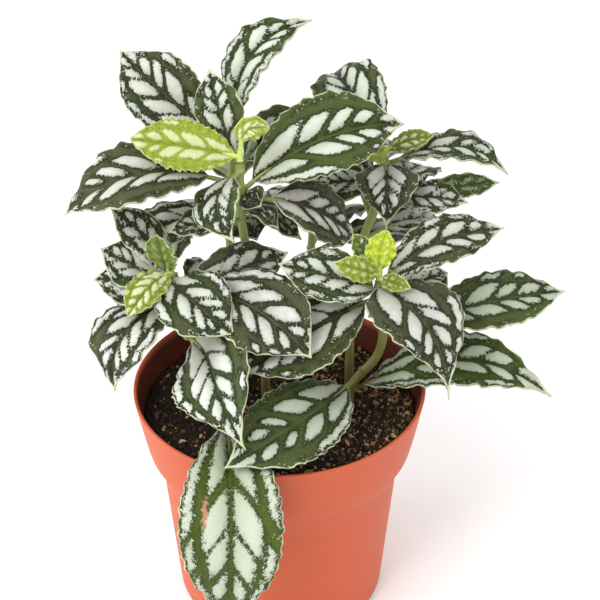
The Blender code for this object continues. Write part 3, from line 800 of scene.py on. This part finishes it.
def blade_back(s):
    """The lower side of a blade: dull green with paler patches and a pale rib."""
    shader = Shader("leaf_lower", 0.6, **{"Specular IOR Level": 0.2})
    places = shader.places("blade")
    ragged, fine = silver_edge(shader, places, 0.5)
    colour = shader.mix(shader.step(ragged, -1.0, 0.8), s.underside, BACK_PATCH)
    colour = shader.mix(shader.noise(places, 6.0, 2.0) * 0.2, colour, BACK_FLUSH)
    rib = 1.0 - shader.step(shader.value("rib_distance"), 0.3, 0.8)
    colour = shader.mix(rib * 0.7, colour, BACK_RIB)
    shader.bump(fine, 0.3, 0.0004)
    return shader.paint(colour, 0.55 + fine * 0.15)


def blade_rim(s):
    """The cut edge of a blade: pale, with green breaks."""
    shader = Shader("leaf_margin", 0.5)
    places = shader.places("blade")
    fine = shader.noise(places, 24.0, 3.0)
    broken = shader.step(shader.noise(places, 6.0, 3.0), 0.4, 0.6)
    shader.bump(fine, 0.2, 0.0003)
    return shader.paint(shader.mix(broken * 0.6 + fine * 0.3, s.margin, MARGIN_GREEN))


def young_face(s):
    """The upper side of a young blade: lime to green, with pale patches and a fine net of veins."""
    shader = Shader("young_leaf_upper", 0.4, **{"Specular IOR Level": 0.3})
    places = shader.places("blade")
    ragged, fine = silver_edge(shader, places, 0.6)
    pale = shader.step(ragged, -0.3, 0.5) * shader.value("silver_tone")
    lime = shader.mix(shader.value("along"), YOUNG_LIME, s.young_green)
    green = shader.mix(shader.value("fresh"), YOUNG_DARK, lime)
    net = shader.step(shader.cells(places, 9.0, "DISTANCE_TO_EDGE"), 0.12, 0.02)
    green = shader.mix(net * 0.6 + (fine - 0.5) * 0.5, green, YOUNG_NET)
    colour = shader.mix(pale * 0.9, green, YOUNG_PATCH)
    rib = 1.0 - shader.step(shader.value("rib_distance"), 0.08, 0.26)
    colour = shader.mix(rib * 0.5, colour, YOUNG_RIB)
    edge = 1.0 - shader.step(shader.value("edge_distance") + (fine - 0.5) * 0.5, 0.1, 0.5)
    colour = shader.mix(edge * 0.75, colour, YOUNG_MARGIN)
    shader.bump(fine + net * 0.6, 0.5, 0.0003)
    return shader.paint(colour, 0.36 + fine * 0.14)


def young_back():
    """The lower side of a young blade, its stalk and its stem: plain yellow green."""
    shader = Shader("young_leaf_lower", 0.5)
    places = shader.places("blade")
    fine = shader.noise(places, 30.0, 3.0)
    colour = shader.mix(fine, YOUNG_BACK_DARK, YOUNG_BACK_LIGHT)
    shader.bump(fine, 0.3, 0.0003)
    return shader.paint(colour)


def stem_skin(s):
    """Green stems that turn brown towards their foot, with fine streaks along them."""
    shader = Shader("stem", 0.45, **{"Specular IOR Level": 0.4})
    places = shader.places()
    streaks = shader.noise(shader.stretched(places, (1.0, 1.0, 0.12)), 900.0, 3.0)
    blotches = shader.noise(places, 160.0, 3.0)
    height = shader.add("SeparateXYZ", {}, {0: places}, "Z")
    young = shader.step(height + (blotches - 0.5) * 0.05, 0.095, 0.165)
    colour = shader.mix(young, s.stem_brown, s.stem_green)
    colour = shader.mix(streaks * 0.5, colour, STEM_STREAK)
    shader.bump(streaks, 0.4, 0.0004)
    return shader.paint(colour, 0.38 + blotches * 0.2)


def pot_skin(s):
    """Matte plastic with a faint grain, cloudy colour and pale scuffs, and painted shade darkening its
    inner wall.
    """
    shader = Shader("pot_plastic", 0.5, **{"Specular IOR Level": 0.25})
    places = shader.places()
    clouds = shader.noise(places, 28.0, 4.0)
    grain = shader.noise(places, 900.0, 2.0)
    streaks = shader.noise(shader.stretched(places, (1.0, 1.0, 3.0)), 140.0, 5.0, 0.7)
    scuffs = shader.step(streaks, 0.66, 0.8)
    colour = shader.mix(clouds * 0.5, s.terracotta, POT_CLOUD)
    colour = shader.mix(scuffs * 0.18, colour, POT_SCUFF)
    # Painted shade: the inner wall is darkened to a near-black red, except for a thin lit band under the
    # rim
    colour = shader.mix(shader.value("inner_wall") * (0.75 + clouds * 0.25), colour, POT_SHADE)
    shader.bump(grain * 0.7 + clouds * 0.3, 0.12, 0.0003)
    return shader.paint(colour, 0.42 + clouds * 0.16 + scuffs * 0.1)


def soil_skin(s):
    """Damp potting mix: nearly black, with small brown bits."""
    shader = Shader("potting_mix", 0.9, **{"Specular IOR Level": 0.25})
    places = shader.places()
    fine = shader.noise(places, 700.0, 5.0, 0.7)
    bits = shader.step(shader.cells(places, 420.0), 0.3, 0.12)
    colour = shader.mix(fine, s.soil_dark, SOIL_LIGHT)
    colour = shader.mix(bits * shader.step(fine, 0.5, 0.7), colour, SOIL_BIT)
    shader.bump(fine, 0.9, 0.0012)
    return shader.paint(colour, 0.8 + fine * 0.18)


def crumb_skin(s):
    """Bark crumbs, each dark or light by its own tone."""
    shader = Shader("bark_crumbs", 0.85, **{"Specular IOR Level": 0.25})
    fine = shader.noise(shader.places(), 1200.0, 4.0)
    tone = shader.value("tone")
    colour = shader.mix(tone * tone, s.soil_dark, s.crumb_light)
    colour = shader.mix(fine * 0.4, colour, CRUMB_GRAIN)
    shader.bump(fine, 0.8, 0.0006)
    return shader.paint(colour)


def floor_skin(s):
    """A matte floor that is nearly white."""
    shader = Shader("floor", 0.9)
    clouds = shader.noise(shader.places(), 3.0, 2.0)
    return shader.paint(shader.mix(clouds * 0.2, s.floor_colour, FLOOR_CLOUD))


# Meshes of all kinds


def shown(name, data):
    """An object in the scene with this mesh, curve, lamp or camera."""
    thing = bpy.data.objects.new(name, data)
    bpy.context.scene.collection.objects.link(thing)
    return thing


def own_piece(name, mesh, *materials):
    """A piece of the plant that rides with the frame."""
    for finish in materials:
        mesh.materials.append(finish)
    piece = shown(name, mesh)
    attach(piece, "root")
    return piece


def mesh_from(name, bm):
    """A mesh from a bmesh, which is freed."""
    mesh = bpy.data.meshes.new(name)
    bm.to_mesh(mesh)
    bm.free()
    return mesh


def final_mesh(piece):
    """The mesh that an object shows, with its modifiers or bevel worked out."""
    graph = bpy.context.evaluated_depsgraph_get()
    graph.update()
    return bpy.data.meshes.new_from_object(piece.evaluated_get(graph))


def apply_modifiers(piece):
    """Gives a piece its final mesh in place of its modifiers."""
    mesh = final_mesh(piece)
    piece.modifiers.clear()
    piece.data = mesh


def joined(pieces, name):
    """One piece made of several."""
    first = pieces[0]
    with bpy.context.temp_override(active_object=first, selected_editable_objects=pieces):
        bpy.ops.object.join()
    first.name = name
    first.data.name = name
    return first


def coordinates(mesh):
    """The places of a mesh's points, one row each."""
    places = np.empty(len(mesh.vertices) * 3)
    mesh.vertices.foreach_get("co", places)
    return places.reshape(-1, 3)


def store(mesh, name, values):
    """Stores a number at each point of a mesh, for its material to read."""
    field = mesh.attributes.new(name, "FLOAT", "POINT")
    field.data.foreach_set("value", np.broadcast_to(values, len(mesh.vertices)).astype(np.float32))


def unit(vectors):
    """Rows of vectors, each made 1 long."""
    return vectors / np.linalg.norm(vectors, axis=1, keepdims=True)


# Leaves and stems


def centre_line(leaf):
    """The four control points of the leaf's centre line in metres, and the way up from it."""
    start, end = Vector(leaf.root) * MM, Vector(leaf.tip) * MM
    chord = end - start
    length = chord.length
    up = Vector(leaf.face)
    up = (up - up.dot(chord) * chord / length**2).normalized()
    lean = chord.cross(up).normalized() * leaf.sway * length
    first = start + chord / 3 + up * leaf.arch[0] * length + lean
    second = start + chord * 2 / 3 + up * leaf.arch[1] * length + lean
    return np.array([start, first, second, end]), np.array(up), length


def on_line(line, t):
    """The places at the shares t along a centre line."""
    rest = 1 - t
    shares = np.stack([rest**3, 3 * rest * rest * t, 3 * rest * t * t, t**3], axis=1)
    return shares @ line


def half_width(u, widest, pinch):
    """The blade's half width along its length from 0 to 1, as a share of its widest."""
    fall = BASE_ROUNDNESS * (1 - widest) / widest
    most = widest**BASE_ROUNDNESS * (1 - widest) ** fall
    point = 1 - pinch * np.clip((u - POINT_FROM) / (1 - POINT_FROM), 0, 1) ** 2
    return u**BASE_ROUNDNESS * (1 - u) ** fall / most * point


def rounded_least(first, second, radius):
    """The lesser of two distances, with the corner between them rounded off."""
    return -radius * np.logaddexp(-first / radius, -second / radius)


def between_veins(row, start, near, far, scale, rng):
    """How far each place lies inside the green along the two cross veins of a patch."""
    gap = scale * (VEIN_HALF_GAP + rng.uniform(*row.gap_spread))
    shift = rng.uniform(-row.shift, row.shift) * (far - near)
    return np.minimum(start - near - shift, far + shift - start) - gap


def silver_depth(along, out, half, side, length, look, rng):
    """How deep each place lies in a silver patch, in millimetres, and negative between patches.

    Cross veins leave the midrib at VEIN_STARTS and bend towards the tip as they run outwards.
    """
    start = along - VEIN_SLANT * out - VEIN_BEND * out**2
    depth = np.full(len(along), FAR_OUTSIDE)
    least, most = SCALE_LIMITS
    scale = look.gap * min(most, max(least, length / FULL_LENGTH))
    for half_blade in (-1, 1):
        here = side == half_blade
        ends = [share * length + rng.uniform(-VEIN_SCATTER, VEIN_SCATTER) * length for share in VEIN_STARTS]
        for near, far in zip(ends, ends[1:]):
            last = far == ends[-1]
            between = between_veins(INNER_ROW, start, near, far, scale, rng)
            reach = TIP_REACH if last else INNER_REACH + rng.uniform(*INNER_REACH_SPREAD)
            rib_gap = scale * (RIB_HALF_GAP + rng.uniform(*RIB_GAP_SPREAD))
            inner = np.minimum(out - rib_gap, reach * half - out)
            patch = rounded_least(between, inner, INNER_ROW.corner * scale)
            between = between_veins(OUTER_ROW, start, near, far, scale, rng)
            outer = np.minimum(out - OUTER_LIMITS[0] * half, OUTER_LIMITS[1] * half - out)
            missing = last or rng.random() > look.outer
            shrink = MISSING_PATCH if missing else rng.uniform(*OUTER_SHRINK)
            spot = rounded_least(between, outer, OUTER_ROW.corner * scale) - shrink
            depth = np.where(here, np.maximum(depth, np.maximum(patch, spot)), depth)
    return depth


def groove(distance, depth, width):
    """A smooth groove, deepest where the distance is 0."""
    return -depth * np.exp(-((distance / width) ** 2))


def leaf_blade(leaf, shoot_name, materials, kind):
    """One folded, quilted blade with a waved and toothed margin, as a bent grid with a thickness."""
    s = plant()
    label = f"{shoot_name} {leaf.name}"
    look = LOOKS.get(shoot_name, {}).get(leaf.name, USUAL_LOOK)
    rng = random.Random(zlib.crc32(label.encode()))
    line, up, length = centre_line(leaf)
    bare = leaf.stalk * MM / length
    blade_length = length * (1 - bare)
    spacing = s.station_spacing * kind.station_share
    columns = 2 * max(5, round(leaf.width * MM / spacing / 2))
    rows = max(14, round(blade_length / spacing))
    bm = bmesh.new()
    bmesh.ops.create_grid(bm, x_segments=columns, y_segments=rows, size=1)
    mesh = mesh_from(label.replace(" ", "_"), bm)
    flat = coordinates(mesh)
    v, u = flat[:, 0], (flat[:, 1] + 1) / 2
    out = np.abs(v)
    t = bare + (1 - bare) * u
    ahead = unit(on_line(line, np.minimum(t + 0.01, 1)) - on_line(line, np.maximum(t - 0.01, 0)))
    normal = unit(up - (ahead @ up)[:, None] * ahead)
    across = np.cross(ahead, normal)

    teeth_in_all = blade_length / kind.tooth_pitch
    phase = np.where(v < 0, rng.uniform(0, ANY_TURN), rng.uniform(0, ANY_TURN))
    turns = math.tau * teeth_in_all * u + phase
    outline = np.clip(half_width(u, leaf.widest, kind.point_pinch), 0, None) * leaf.width * MM / 2
    teeth = np.sin(turns + TOOTH_LEAN * np.sin(turns)) + TOOTH_UNEVEN * np.sin(turns * TOOTH_BEAT + 2)
    toothed = 1 + kind.tooth_depth * teeth * np.clip(1 - u**6, 0, 1)
    half = np.maximum(outline * toothed, np.where(u < BASE_SHARE, BASE_HALF_WIDTH, TIP_HALF_WIDTH))

    half_mm = half / MM
    rib = out * half_mm
    forward = u * blade_length / MM
    side = np.where(v < 0, -1, 1)
    depth = silver_depth(forward, rib, half_mm, side, blade_length / MM, look, rng)

    risen = np.clip((depth + PATCH_FOOT) / PATCH_SLOPE, 0, 1)
    bulge = s.patch_height * risen * (2 - risen)
    cushion = s.patch_height * CUSHION_SHARE * np.cos(turns / 2) * out * (1 - out)
    grooves = groove(rib, *RIB_GROOVE) + groove((out - ROW_GROOVE_AT) * half_mm, *ROW_GROOVE)
    wobble = s.ruffle * out**3 * np.sin(turns / TEETH_PER_RUFFLE)
    relief = (bulge + cushion + grooves + wobble) * np.clip(half_mm / RELIEF_FULL_FROM, 0, 1)
    rise = leaf.fold * half * (out - FOLD_CURL * out * out) + relief
    places = on_line(line, t) + across * (half * v)[:, None] + normal * rise[:, None]
    mesh.vertices.foreach_set("co", places.ravel())

    spot_along, spot_across = look.blemish or BEYOND_TIP
    from_spot = np.hypot(
        (u - spot_along) * blade_length / MM / BLEMISH_HALF_LENGTH,
        (v - spot_across) * half_mm / BLEMISH_HALF_WIDTH,
    )
    fields = {
        "silver_depth": depth,
        "vein_along": forward * VEIN_SLANT + rib,
        "vein_across": forward - rib * VEIN_SLANT,
        "rib_distance": rib,
        "edge_distance": (1 - out) * half_mm,
        "along": u,
        # Freshness, silver tone and brown tint also carry painted shade for shaded leaves
        "fresh": np.clip(look.fresh + rng.uniform(-FRESH_SCATTER, FRESH_SCATTER), 0, 1),
        "silver_tone": look.silver,
        "blemish": np.clip(1.5 - from_spot, -2, 1),
        "brown": look.brown,
        "worn": look.worn,
    }
    for field, values in fields.items():
        store(mesh, field, values)
    corners = np.empty(len(mesh.loops), np.int32)
    mesh.loops.foreach_get("vertex_index", corners)
    layer = mesh.uv_layers.new(name="blade")
    spread = np.stack([u * blade_length * UV_PER_METRE, v * half * UV_PER_METRE], axis=1)
    spread = spread + rng.uniform(0, UV_SCATTER)
    layer.data.foreach_set("uv", spread[corners].astype(np.float32).ravel())

    piece = own_piece(mesh.name, mesh, *materials)
    skin = piece.modifiers.new("Thickness", "SOLIDIFY")
    skin.thickness = s.blade_thickness
    skin.offset = 0
    skin.material_offset = 1
    skin.material_offset_rim = 2
    apply_modifiers(piece)
    piece.data.shade_smooth()
    return piece


def tube(name, points, radii, steps):
    """A round stem or stalk through the points, as a closed mesh."""
    curve = bpy.data.curves.new(name, "CURVE")
    curve.dimensions = "3D"
    curve.resolution_u = steps
    curve.bevel_depth = 1.0
    curve.bevel_resolution = 4
    curve.use_fill_caps = True
    spline = curve.splines.new("BEZIER")
    spline.bezier_points.add(len(points) - 1)
    for i, (knot, point, radius) in enumerate(zip(spline.bezier_points, points, radii)):
        knot.co = point
        knot.handle_left_type = "AUTO" if i > 1 else "VECTOR"
        knot.handle_right_type = "AUTO" if i > 0 else "VECTOR"
        knot.radius = radius
    guide = shown(name, curve)
    mesh = final_mesh(guide)
    bpy.data.objects.remove(guide)
    mesh.shade_smooth()
    return mesh


def stalk(leaf, shoot_name, finish):
    """The stalk that carries a blade, run on under the base of its midrib, with a swollen foot."""
    line, up, length = centre_line(leaf)
    bare = leaf.stalk * MM / length
    radii = [*(STALK_RADIUS * swell for swell in STALK_SWELLS), STALK_END_RADIUS]
    points = on_line(line, np.linspace(0, bare + STALK_UNDER_BLADE, len(radii))) - up * STALK_SINK
    return own_piece(f"{shoot_name}_{leaf.name}_stalk", tube(leaf.name, points, radii, STALK_STEPS), finish)


def knuckle(name, centre, radius, finish):
    """The swollen joint where leaves grow from the stem."""
    bm = bmesh.new()
    bmesh.ops.create_uvsphere(bm, u_segments=20, v_segments=12, radius=1)
    bmesh.ops.scale(bm, vec=(radius * KNUCKLE_SWELL, radius * KNUCKLE_SWELL, radius), verts=bm.verts)
    bmesh.ops.translate(bm, vec=centre, verts=bm.verts)
    mesh = mesh_from(name, bm)
    mesh.shade_smooth()
    return own_piece(name, mesh, finish)


def make_shoot(shoot, blade_materials, stem_material, kind):
    """The blades of one shoot as one piece, and its stem and stalks as another."""
    grown = kind is GROWN
    blades = [leaf_blade(leaf, shoot.name, blade_materials, kind) for leaf in shoot.leaves]
    blades = joined(blades, shoot.name + "_blades")
    points = [Vector(point) * MM for point in shoot.stem]
    if grown:
        points = [Vector((points[0].x, points[0].y, STEM_FOOT)), *points]
        radius, taper = STEM_RADIUS, STEM_TAPER
    else:
        radius, taper = STUB_RADIUS, STUB_TAPER
    radii = [radius * (1 - taper * i / (len(points) - 1)) for i in range(len(points))]
    stems = [own_piece(shoot.name + "_stem", tube(shoot.name, points, radii, STEM_STEPS), stem_material)]
    stems += [stalk(leaf, shoot.name, stem_material) for leaf in shoot.leaves]
    if grown:
        roots = sorted({leaf.root for leaf in shoot.leaves}, key=lambda root: root[2])
        for i, root in enumerate(roots):
            stems.append(knuckle(f"{shoot.name}_joint_{i}", Vector(root) * MM, radii[-1], stem_material))
    stems = joined(stems, shoot.name + "_stems")
    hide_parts(shoot.name)
    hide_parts(shoot.name)


# The pot and the soil


def outer_radius(height):
    """The pot's outer radius: a body that widens slowly, a step, and a collar that flares."""
    if height <= BODY_TOP_HEIGHT:
        share = max(height - FOOT_CORNER, 0.0) / (BODY_TOP_HEIGHT - FOOT_CORNER)
        return FOOT_RADIUS + (BODY_TOP_RADIUS - FOOT_RADIUS) * share
    if height <= SHOULDER_HEIGHT:
        share = (height - BODY_TOP_HEIGHT) / (SHOULDER_HEIGHT - BODY_TOP_HEIGHT)
        return BODY_TOP_RADIUS + (SHOULDER_RADIUS - BODY_TOP_RADIUS) * share
    share = (height - SHOULDER_HEIGHT) / (POT_HEIGHT - SHOULDER_HEIGHT)
    return SHOULDER_RADIUS + (RIM_RADIUS - SHOULDER_RADIUS) * share**COLLAR_FLARE


def arc(centre, reach, turns):
    """Places on an arc round a centre in the pot's profile, as (radius, height)."""
    return [(centre[0] + reach[0] * math.cos(t), centre[1] + reach[1] * math.sin(t)) for t in turns]


def wall_rings(low, high, count):
    """Places on the pot's outer wall between two heights, as (radius, height)."""
    return [(outer_radius(z), z) for z in np.linspace(low, high, count)]


def spun(profile, sides):
    """A bmesh of a profile of (radius, height) spun round Z. It starts and ends on the axis."""
    bm = bmesh.new()
    points = [bm.verts.new((radius, 0, height)) for radius, height in profile]
    edges = [bm.edges.new(pair) for pair in zip(points, points[1:])]
    turn = {"cent": (0, 0, 0), "axis": (0, 0, 1), "angle": math.tau, "steps": sides}
    bmesh.ops.spin(bm, geom=points + edges, use_merge=True, **turn)
    bmesh.ops.remove_doubles(bm, verts=bm.verts, dist=1e-6)
    bmesh.ops.recalc_face_normals(bm, faces=bm.faces)
    return bm


def make_pot():
    """The thin-walled pot with a rounded foot, shoulder and rim, and drain holes."""
    s = plant()
    corner = arc(
        (FOOT_RADIUS - FOOT_CORNER, FOOT_CORNER),
        (FOOT_CORNER, FOOT_CORNER),
        np.linspace(-math.pi / 2, 0, 7)[:-1],
    )
    body = wall_rings(FOOT_CORNER, BODY_TOP_HEIGHT - RING_CLEARANCE, 10)
    step = wall_rings(BODY_TOP_HEIGHT + RING_CLEARANCE, SHOULDER_HEIGHT - RING_CLEARANCE, 4)
    collar = wall_rings(SHOULDER_HEIGHT + RING_CLEARANCE, POT_HEIGHT - RIM_ROUND, 12)
    rim = arc(
        (RIM_RADIUS - POT_WALL / 2, POT_HEIGHT - RIM_ROUND),
        (POT_WALL / 2, RIM_ROUND),
        np.linspace(RIM_ARC_START, math.pi - RIM_ARC_START, 7),
    )
    inner = [(radius - POT_WALL, z) for radius, z in reversed(body + step + collar)]
    floor = arc(
        (FOOT_RADIUS - POT_WALL - FLOOR_CORNER, POT_FLOOR + FLOOR_CORNER),
        (FLOOR_CORNER, FLOOR_CORNER),
        np.linspace(-FLOOR_ARC_START, -math.pi / 2, 5),
    )
    inner = [place for place in inner if place[1] > POT_FLOOR + FLOOR_CORNER]
    profile = [(0, 0), *corner, *body, *step, *collar, *rim, *inner, *floor, (0, POT_FLOOR)]
    pot = own_piece("pot_shell", mesh_from("pot_shell", spun(profile, s.pot_sides)), pot_skin(s))
    cutters = bpy.data.collections.new("drain_holes")
    for hole in range(DRAIN_HOLES):
        turn = math.tau * hole / DRAIN_HOLES
        bm = bmesh.new()
        cylinder = {"radius1": DRAIN_HOLE_RADIUS, "radius2": DRAIN_HOLE_RADIUS, "depth": 3 * POT_FLOOR}
        bmesh.ops.create_cone(bm, cap_ends=True, segments=48, **cylinder)
        place = (DRAIN_CIRCLE_RADIUS * math.cos(turn), DRAIN_CIRCLE_RADIUS * math.sin(turn), 0)
        bmesh.ops.translate(bm, vec=place, verts=bm.verts)
        cutters.objects.link(bpy.data.objects.new(f"hole_{hole}", mesh_from("hole", bm)))
    cut = pot.modifiers.new("Drain", "BOOLEAN")
    cut.operand_type = "COLLECTION"
    cut.collection = cutters
    cut.solver = "EXACT"
    apply_modifiers(pot)
    for cutter in list(cutters.objects):
        bpy.data.objects.remove(cutter)
    bpy.data.collections.remove(cutters)
    pot.data.shade_smooth()
    pot.data.set_sharp_from_angle(angle=POT_SHARP_ANGLE)
    x, y, z = coordinates(pot.data).T
    # Marks the inner wall for its painted shade, which fades in just below the rim
    wall_radii, wall_heights = zip(*wall_rings(0, POT_HEIGHT, 60))
    depth_in_wall = np.interp(z, wall_heights, wall_radii) - np.hypot(x, y)
    below_rim = np.clip((POT_HEIGHT - z) / LIT_BELOW_RIM, 0, 1)
    store(pot.data, "inner_wall", (depth_in_wall > POT_WALL * 0.7) * below_rim)
    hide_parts("pot")


def soil_height(x, y):
    """The height of the soil's top: fine lumps on wide, low swells."""
    place = Vector((x, y, 0))
    lumps = noise.fractal(place * LUMPS_PER_METRE, 0.9, 2.1, 5) * LUMP_HEIGHT
    swells = noise.noise(place * SWELLS_PER_METRE) * SWELL_HEIGHT
    return SOIL_HEIGHT + lumps + swells


def make_crumbs(edge):
    """Loose crumbs of bark on the soil, with more light ones towards the right."""
    s = plant()
    rng = random.Random(CRUMB_SEED)
    bm = bmesh.new()
    bmesh.ops.create_icosphere(bm, subdivisions=1, radius=1)
    ball = mesh_from("crumb", bm)
    shape = coordinates(ball)
    sides = np.array([face.vertices[:] for face in ball.polygons])
    places, faces, tones = [], [], []
    for crumb in range(s.crumbs):
        size = CRUMB_LEAST + CRUMB_SPREAD * rng.random() ** 4
        away = edge * math.sqrt(rng.random()) * CRUMB_CIRCLE
        turn = rng.uniform(0, math.tau)
        x, y = away * math.cos(turn), away * math.sin(turn)
        stretch = [rng.uniform(*limits) for limits in CRUMB_STRETCHES]
        swell = np.array([[rng.gauss(0, 1.6) for _ in range(3)] for _ in range(3)])
        bumpy = 1 + CRUMB_BUMPS * np.sin(shape @ swell * 1.5).sum(axis=1, keepdims=True)
        turned = np.array(Euler([rng.uniform(0, ANY_TURN) for _ in range(3)]).to_matrix())
        centre = np.array([x, y, soil_height(x, y) + size * CRUMB_LIFT])
        places.append(centre + size * (shape * stretch * bumpy) @ turned)
        faces.append(sides + crumb * len(shape))
        rightward = 0.5 + x / edge / 2
        if rng.random() < LIGHT_CRUMBS_AT_LEFT + LIGHT_CRUMBS_RISE * rightward:
            tone = rng.uniform(*LIGHT_TONES)
        else:
            tone = rng.random() ** (4 - 2 * rightward) * DARK_TONE_LIMIT
        tones.append(np.full(len(shape), tone))
    mesh = bpy.data.meshes.new("soil_crumbs")
    mesh.from_pydata(np.concatenate(places), [], np.concatenate(faces))
    store(mesh, "tone", np.concatenate(tones))
    crumbs = own_piece("soil_crumbs", mesh, crumb_skin(s))


def make_soil():
    """Potting mix with a rough top, and the crumbs on it."""
    base = POT_FLOOR + GAP
    heights = [base + FLOOR_CORNER, *np.linspace(BODY_TOP_HEIGHT / 2, SOIL_HEIGHT, 16)]
    wall = [(outer_radius(z) - (POT_WALL + GAP), z) for z in heights]
    edge = wall[-1][0]
    top = [(edge * (1 - ring / SOIL_RINGS), SOIL_HEIGHT) for ring in range(1, SOIL_RINGS + 1)]
    bm = spun([(0, base), (wall[0][0] - FLOOR_CORNER, base), *wall, *top], SOIL_SIDES)
    for vert in bm.verts:
        if vert.co.z > SOIL_HEIGHT - MM:
            vert.co.z = soil_height(vert.co.x, vert.co.y)
    soil = own_piece("soil_bed", mesh_from("soil_bed", bm), soil_skin(plant()))
    soil.data.shade_smooth()
    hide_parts("soil")
    make_crumbs(edge)


# The stage


def aim(thing, place, target):
    """Places a lamp or camera and turns it towards its target."""
    thing.location = place
    thing.rotation_euler = (Vector(target) - Vector(place)).to_track_quat("-Z", "Y").to_euler()


def area_light(name, place, target, size, power):
    """A round soft lamp."""
    lamp = bpy.data.lights.new(name, "AREA")
    lamp.shape = "DISK"
    lamp.size = size
    lamp.energy = power
    aim(shown(name, lamp), place, target)


def make_stage():
    """The camera at the picture's angle, a pale floor and soft lights."""
    s = bpy.context.scene.stage_settings
    camera = bpy.data.cameras.new("camera")
    camera.lens = s.focal_length
    camera.sensor_width = SENSOR_WIDTH
    camera.clip_end = 50.0
    bpy.context.scene.camera = shown("camera", camera)
    aim(bpy.context.scene.camera, s.camera_place, s.camera_aim)
    bm = bmesh.new()
    bmesh.ops.create_grid(bm, x_segments=2, y_segments=2, size=s.floor_size / 2)
    mesh = mesh_from("floor", bm)
    mesh.materials.append(floor_skin(s))
    floor = shown("floor", mesh)
    floor.location.z = -FLOOR_DROP
    area_light("key", (-0.55, -0.75, 1.15), (0, 0, 0.14), size=0.7, power=s.key_power)
    area_light("fill", (1.0, -0.4, 0.7), (0, 0, 0.12), size=0.8, power=s.fill_power)
    area_light("side", (-1.1, -0.1, 0.25), (0, 0, 0.1), size=0.5, power=s.side_power)
    world = bpy.data.worlds.new("white_room")
    world.use_nodes = True
    sky = world.node_tree.nodes["Background"].inputs
    sky["Color"].default_value = (1.0, 1.0, 1.0, 1.0)
    sky["Strength"].default_value = s.sky_strength
    bpy.context.scene.world = world
    bpy.context.scene.view_settings.view_transform = "Standard"


# Operators


class PLANT_OT_stage(bpy.types.Operator):
    """Make the camera, the floor and the lights"""

    bl_idname = "plant.make_stage"
    bl_label = "Stage"

    def execute(self, context):
        make_stage()
        return {"FINISHED"}


class PLANT_OT_pot(bpy.types.Operator):
    """Make the pot's fine shell over its solid"""

    bl_idname = "plant.make_pot"
    bl_label = "Pot"

    def execute(self, context):
        make_pot()
        return {"FINISHED"}


class PLANT_OT_soil(bpy.types.Operator):
    """Make the soil and its crumbs"""

    bl_idname = "plant.make_soil"
    bl_label = "Soil"

    def execute(self, context):
        make_soil()
        return {"FINISHED"}


class PLANT_OT_shoots(bpy.types.Operator):
    """Make the full-grown leaves and the stems of every shoot"""

    bl_idname = "plant.make_shoots"
    bl_label = "Shoots"

    def execute(self, context):
        s = plant()
        blades = (blade_face(s), blade_back(s), blade_rim(s))
        skin = stem_skin(s)
        for shoot in SHOOTS:
            make_shoot(shoot, blades, skin, GROWN)
        return {"FINISHED"}


class PLANT_OT_growing_tips(bpy.types.Operator):
    """Make the young leaves at the ends of the stems"""

    bl_idname = "plant.make_growing_tips"
    bl_label = "Growing tips"

    def execute(self, context):
        s = plant()
        back = young_back()
        blades = (young_face(s), back, blade_rim(s))
        for shoot in GROWING_TIPS:
            make_shoot(shoot, blades, back, YOUNG)
        return {"FINISHED"}


class PLANT_PT_panel(bpy.types.Panel):
    """The plant's settings and the buttons that make its pieces"""

    bl_label = "Plant"
    bl_idname = "PLANT_PT_panel"
    bl_space_type = "VIEW_3D"
    bl_region_type = "UI"
    bl_category = "Plant"

    def draw(self, context):
        for group in (context.scene.plant_settings, context.scene.stage_settings):
            box = self.layout.box()
            for name in group.__annotations__:
                box.prop(group, name)
        for operator in PIECES:
            self.layout.operator(operator.bl_idname)


PIECES = (PLANT_OT_stage, PLANT_OT_pot, PLANT_OT_soil, PLANT_OT_shoots, PLANT_OT_growing_tips)
CLASSES = (PlantSettings, StageSettings, *PIECES, PLANT_PT_panel)


def register():
    for each in CLASSES:
        bpy.utils.register_class(each)
    bpy.types.Scene.plant_settings = PointerProperty(type=PlantSettings)
    bpy.types.Scene.stage_settings = PointerProperty(type=StageSettings)


def unregister():
    del bpy.types.Scene.plant_settings
    del bpy.types.Scene.stage_settings
    for each in reversed(CLASSES):
        bpy.utils.unregister_class(each)


def main():
    """Makes every piece in order."""
    register()
    bpy.ops.plant.make_stage()
    bpy.ops.plant.make_pot()
    bpy.ops.plant.make_soil()
    bpy.ops.plant.make_shoots()
    bpy.ops.plant.make_growing_tips()


if __name__ == "__main__":
    main()
